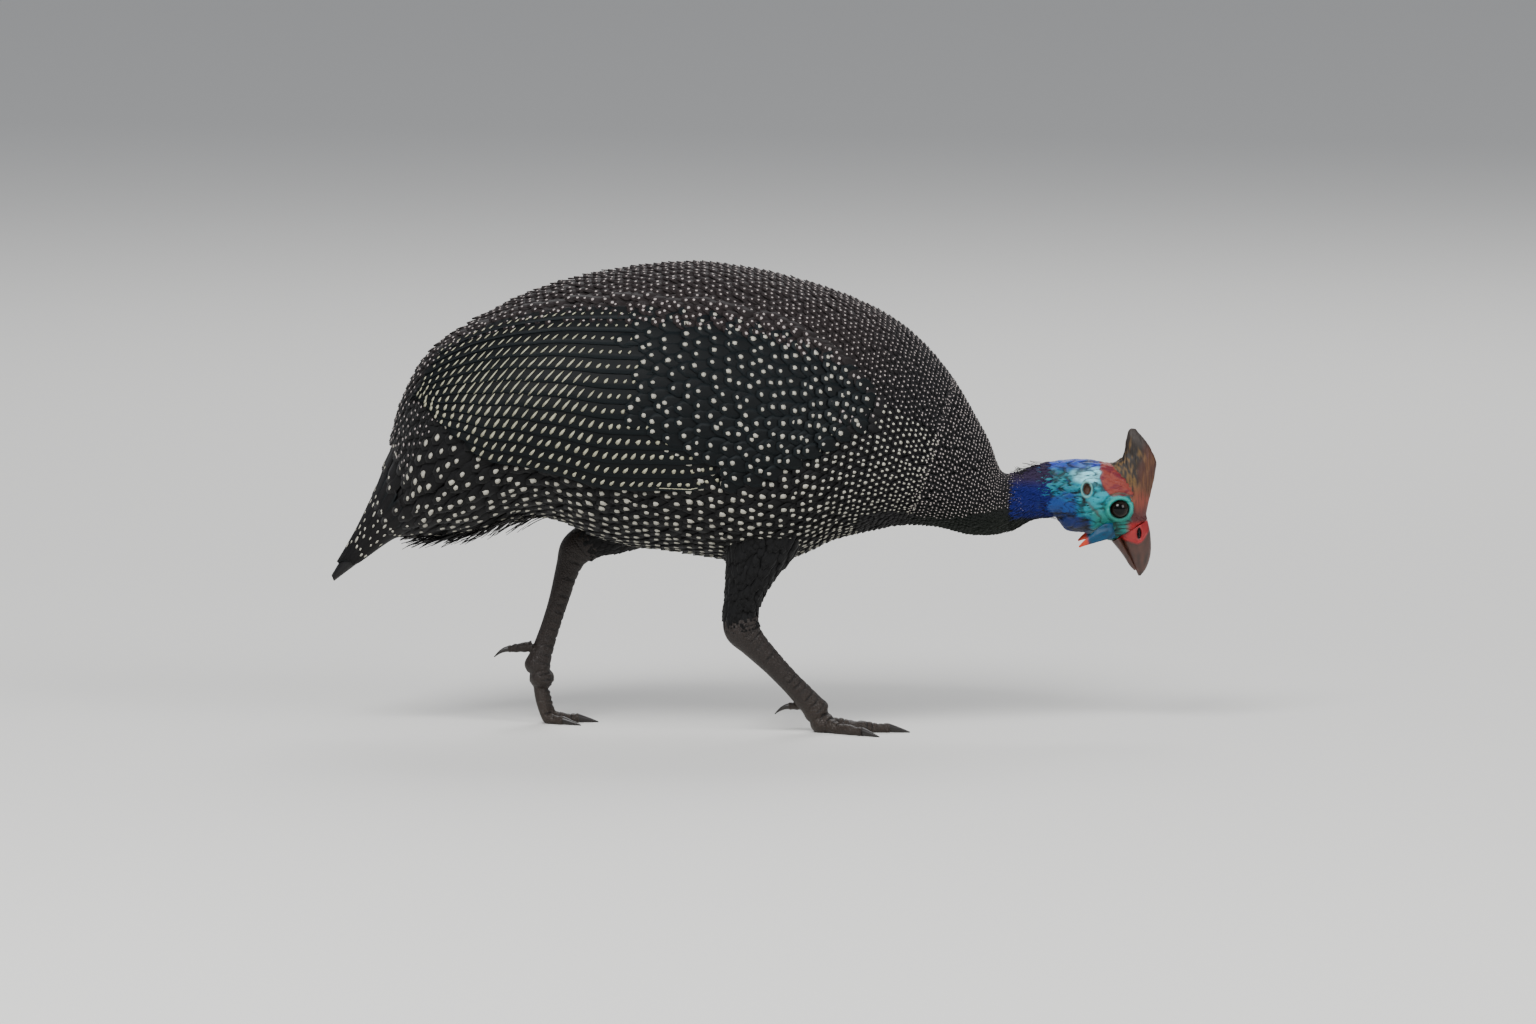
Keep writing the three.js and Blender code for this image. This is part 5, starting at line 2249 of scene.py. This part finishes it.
    def build_claws(self) -> None:
        """Build the four claws in the place of their solids."""
        for toe in self.TOES:
            path = self.toe_path(toe, 7)
            tip, course = path[-1, :3], path[-1, :3] - path[-2, :3]
            course = course / np.linalg.norm(course)
            hind = toe == "hind"
            u = np.linspace(0, 1, 16)
            reach = self.gap - 1.2 + u * (self.claw_long * (0.7 if hind else 1.0) + 1.2)
            thick = path[-1, 3] * 0.84 + (0.3 - path[-1, 3] * 0.84) * u**1.2
            height = tip[2] - 5 * u * u if hind else np.maximum(thick + 0.02, tip[2] * (1.1 - u))
            x, y = tip[0] + course[0] * reach, tip[1] + course[1] * reach
            points, faces = self._tube(np.column_stack([x, y, height, thick, thick * 0.8]), 20)
            colour = np.broadcast_to(Hue.CLAW.rgb, points.shape)
            Piece(points, faces, colour).build(
                f"claw_{self.name}_{toe}_horn", self.claws, "claw", f"claw_{self.name}_{toe}"
            )

    def build_thigh(self) -> None:
        """Build the feathered thigh down to the hock."""
        surface = LimbSurface(
            self.stops[: self.bare_from + 2], (0.82, 0.05 if self.side > 0 else 0.52)
        )
        end = float(self.bare_from)
        angle = np.linspace(0, 360, 64, endpoint=False)
        station, turn = np.meshgrid(np.linspace(0, end, 60), angle, indexing="ij")
        points, faces = tube(surface.point(station, turn, -1.2))
        colour = np.broadcast_to(Hue.BELLY.rgb, points.shape)
        bake = tube_bake(surface, station, turn)
        Piece(points, faces, colour, bake).build(
            f"thigh_{self.name}_skin", self.feather, "plumage", f"thigh_{self.name}"
        )
        count = self.down_count
        root = RNG.uniform(0.3, end + 0.05, count)
        turned = LimbSurface(surface.stops, surface.corner, turned_at=end + 0.4)
        down = Feathers(
            turned,
            turned.turned_at - root + 0.25,
            RNG.uniform(0, 360, count),
            RNG.uniform(9, 13, count),
            4.6,
            -1.4,
            RNG.uniform(0.1, 0.7, count),
            lean=RNG.uniform(-8, 8, count),
        )
        down.build(flank_pigment).build(f"thigh_{self.name}_coat", self.feather, "plumage")

    def build(self) -> None:
        """Build the whole leg."""
        self.build_foot()
        self.build_claws()
        self.build_thigh()
        LOG.info("leg %s done", self.name)


# Each leg from inside the body to the foot: x, y, z, half depth and half width
RIGHT_STOPS = (
    (20, -36, 150, 30, 22),
    (12, -38, 124, 25, 19),
    (5, -40, 104, 17, 14.5),
    (0, -40, 86, 12, 10.5),
    (-2, -40, 73.5, 11, 9),
    (-0.5, -39.6, 65.5, 11.2, 9),
    (6, -37.5, 57, 8.8, 7.4),
    (18, -33, 44, 7.2, 6),
    (28, -29, 33, 6.7, 5.7),
    (35.5, -26.1, 24.8, 7, 6),
    (42, -23.5, 17.4, 7.4, 7),
    (46, -22, 12.4, 8.2, 8),
    (48.5, -21, 9.6, 5, 5),
)
LEFT_STOPS = (
    (-42, 34, 152, 30, 20),
    (-62, 35, 134, 25, 17),
    (-82, 34, 121, 17, 13),
    (-95, 33, 114, 12, 10),
    (-104, 32, 107.5, 10.8, 9),
    (-109, 31, 97, 7.8, 7.2),
    (-114.5, 29.5, 78, 6.3, 5.8),
    (-119, 28.4, 63.5, 6.0, 5.5),
    (-122.5, 27.7, 53, 6.2, 5.8),
    (-126, 27, 42.5, 7.0, 6.8),
    (-128.5, 26.5, 35, 8.2, 8),
    (-129.8, 26.2, 30.6, 5, 5),
)


# Stage


@dataclass
class Studio:
    """Pale floor, soft lights and the camera at the photograph's angle.

    distance is in metres, and each light is its place in metres, its size and its watts.
    """

    aim_mm: tuple[float, float, float] = (15.2, 0.0, 134.7)
    elevation: float = 6.0
    distance: float = 12.0
    lens: float = 453.6
    floor_size: float = 40.0
    paper: str = "#e4e3df"
    sky: tuple[float, float, float, float] = (0.9, 0.93, 1.0, 1.0)
    sky_strength: float = 0.38
    sensor: float = 36.0
    lights: tuple[tuple[tuple[float, float, float], float, float], ...] = (
        ((-1.0, -2.2, 2.6), 1.4, 118.0),
        ((2.2, -1.8, 1.6), 1.4, 42.0),
        ((0.4, 2.4, 2.2), 1.8, 48.0),
    )

    def build(self) -> None:
        """Build floor, lights, world and camera."""
        bpy.ops.mesh.primitive_plane_add(size=self.floor_size)
        floor = bpy.context.object
        floor.name = "floor"
        paper = bpy.data.materials.new("pale_paper")
        paper.use_nodes = True
        shader = paper.node_tree.nodes["Principled BSDF"]
        shader.inputs["Base Color"].default_value = (*linear(self.paper), 1)
        shader.inputs["Roughness"].default_value = 0.9
        floor.data.materials.append(paper)
        aim = Vector(self.aim_mm) * MM
        for place, size, power in self.lights:
            lamp = bpy.data.lights.new("softbox", "AREA")
            lamp.size = size
            lamp.energy = power
            made = bpy.data.objects.new("softbox", lamp)
            made.location = place
            made.rotation_euler = (aim - Vector(place)).to_track_quat("-Z", "Y").to_euler()
            bpy.context.scene.collection.objects.link(made)
        world = bpy.data.worlds.new("studio")
        world.use_nodes = True
        sky = world.node_tree.nodes["Background"]
        sky.inputs["Color"].default_value = self.sky
        sky.inputs["Strength"].default_value = self.sky_strength
        bpy.context.scene.world = world
        tilt = math.radians(self.elevation)
        lens = bpy.data.cameras.new("camera")
        lens.lens = self.lens
        lens.sensor_width = self.sensor
        camera = bpy.data.objects.new("camera", lens)
        back = Vector((0, -math.cos(tilt), math.sin(tilt))) * self.distance
        camera.location = aim + back
        camera.rotation_euler = (-back).to_track_quat("-Z", "Y").to_euler()
        bpy.context.scene.collection.objects.link(camera)
        bpy.context.scene.camera = camera
        LOG.info("studio done")


def main() -> None:
    """Dress the whole bird and set the stage."""
    logging.basicConfig(level=logging.INFO, format="%(message)s")
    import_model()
    body = BodySurface()
    feather = CONTOUR_FEATHER.build()
    flight = FLIGHT_FEATHER.build()
    white = WHITE_BARBS.build()
    bare = BARE_SKIN.build()
    coat = Coat(body, feather, white)
    Skin(body, coat, bare).build()
    coat.build()
    for name, side in SIDES.items():
        Wing(body, name, side, feather, flight, white).build()
    Tail(body, flight, white).build()
    Fringe(body, feather).build()
    HeadParts(CASQUE_HORN.build(), BILL_HORN.build(), bare, WET_EYE.build()).build()
    dress = (LEG_SCALE.build(), CLAW_HORN.build(), feather)
    Leg("right", -1, *dress, RIGHT_STOPS, bare_from=4, foot=(46, -22, 12.4), heading=-4).build()
    Leg("left", 1, *dress, LEFT_STOPS, bare_from=3, foot=(-128.5, 26.5, 35), heading=5).build()
    Studio().build()


if __name__ == "__main__":
    main()
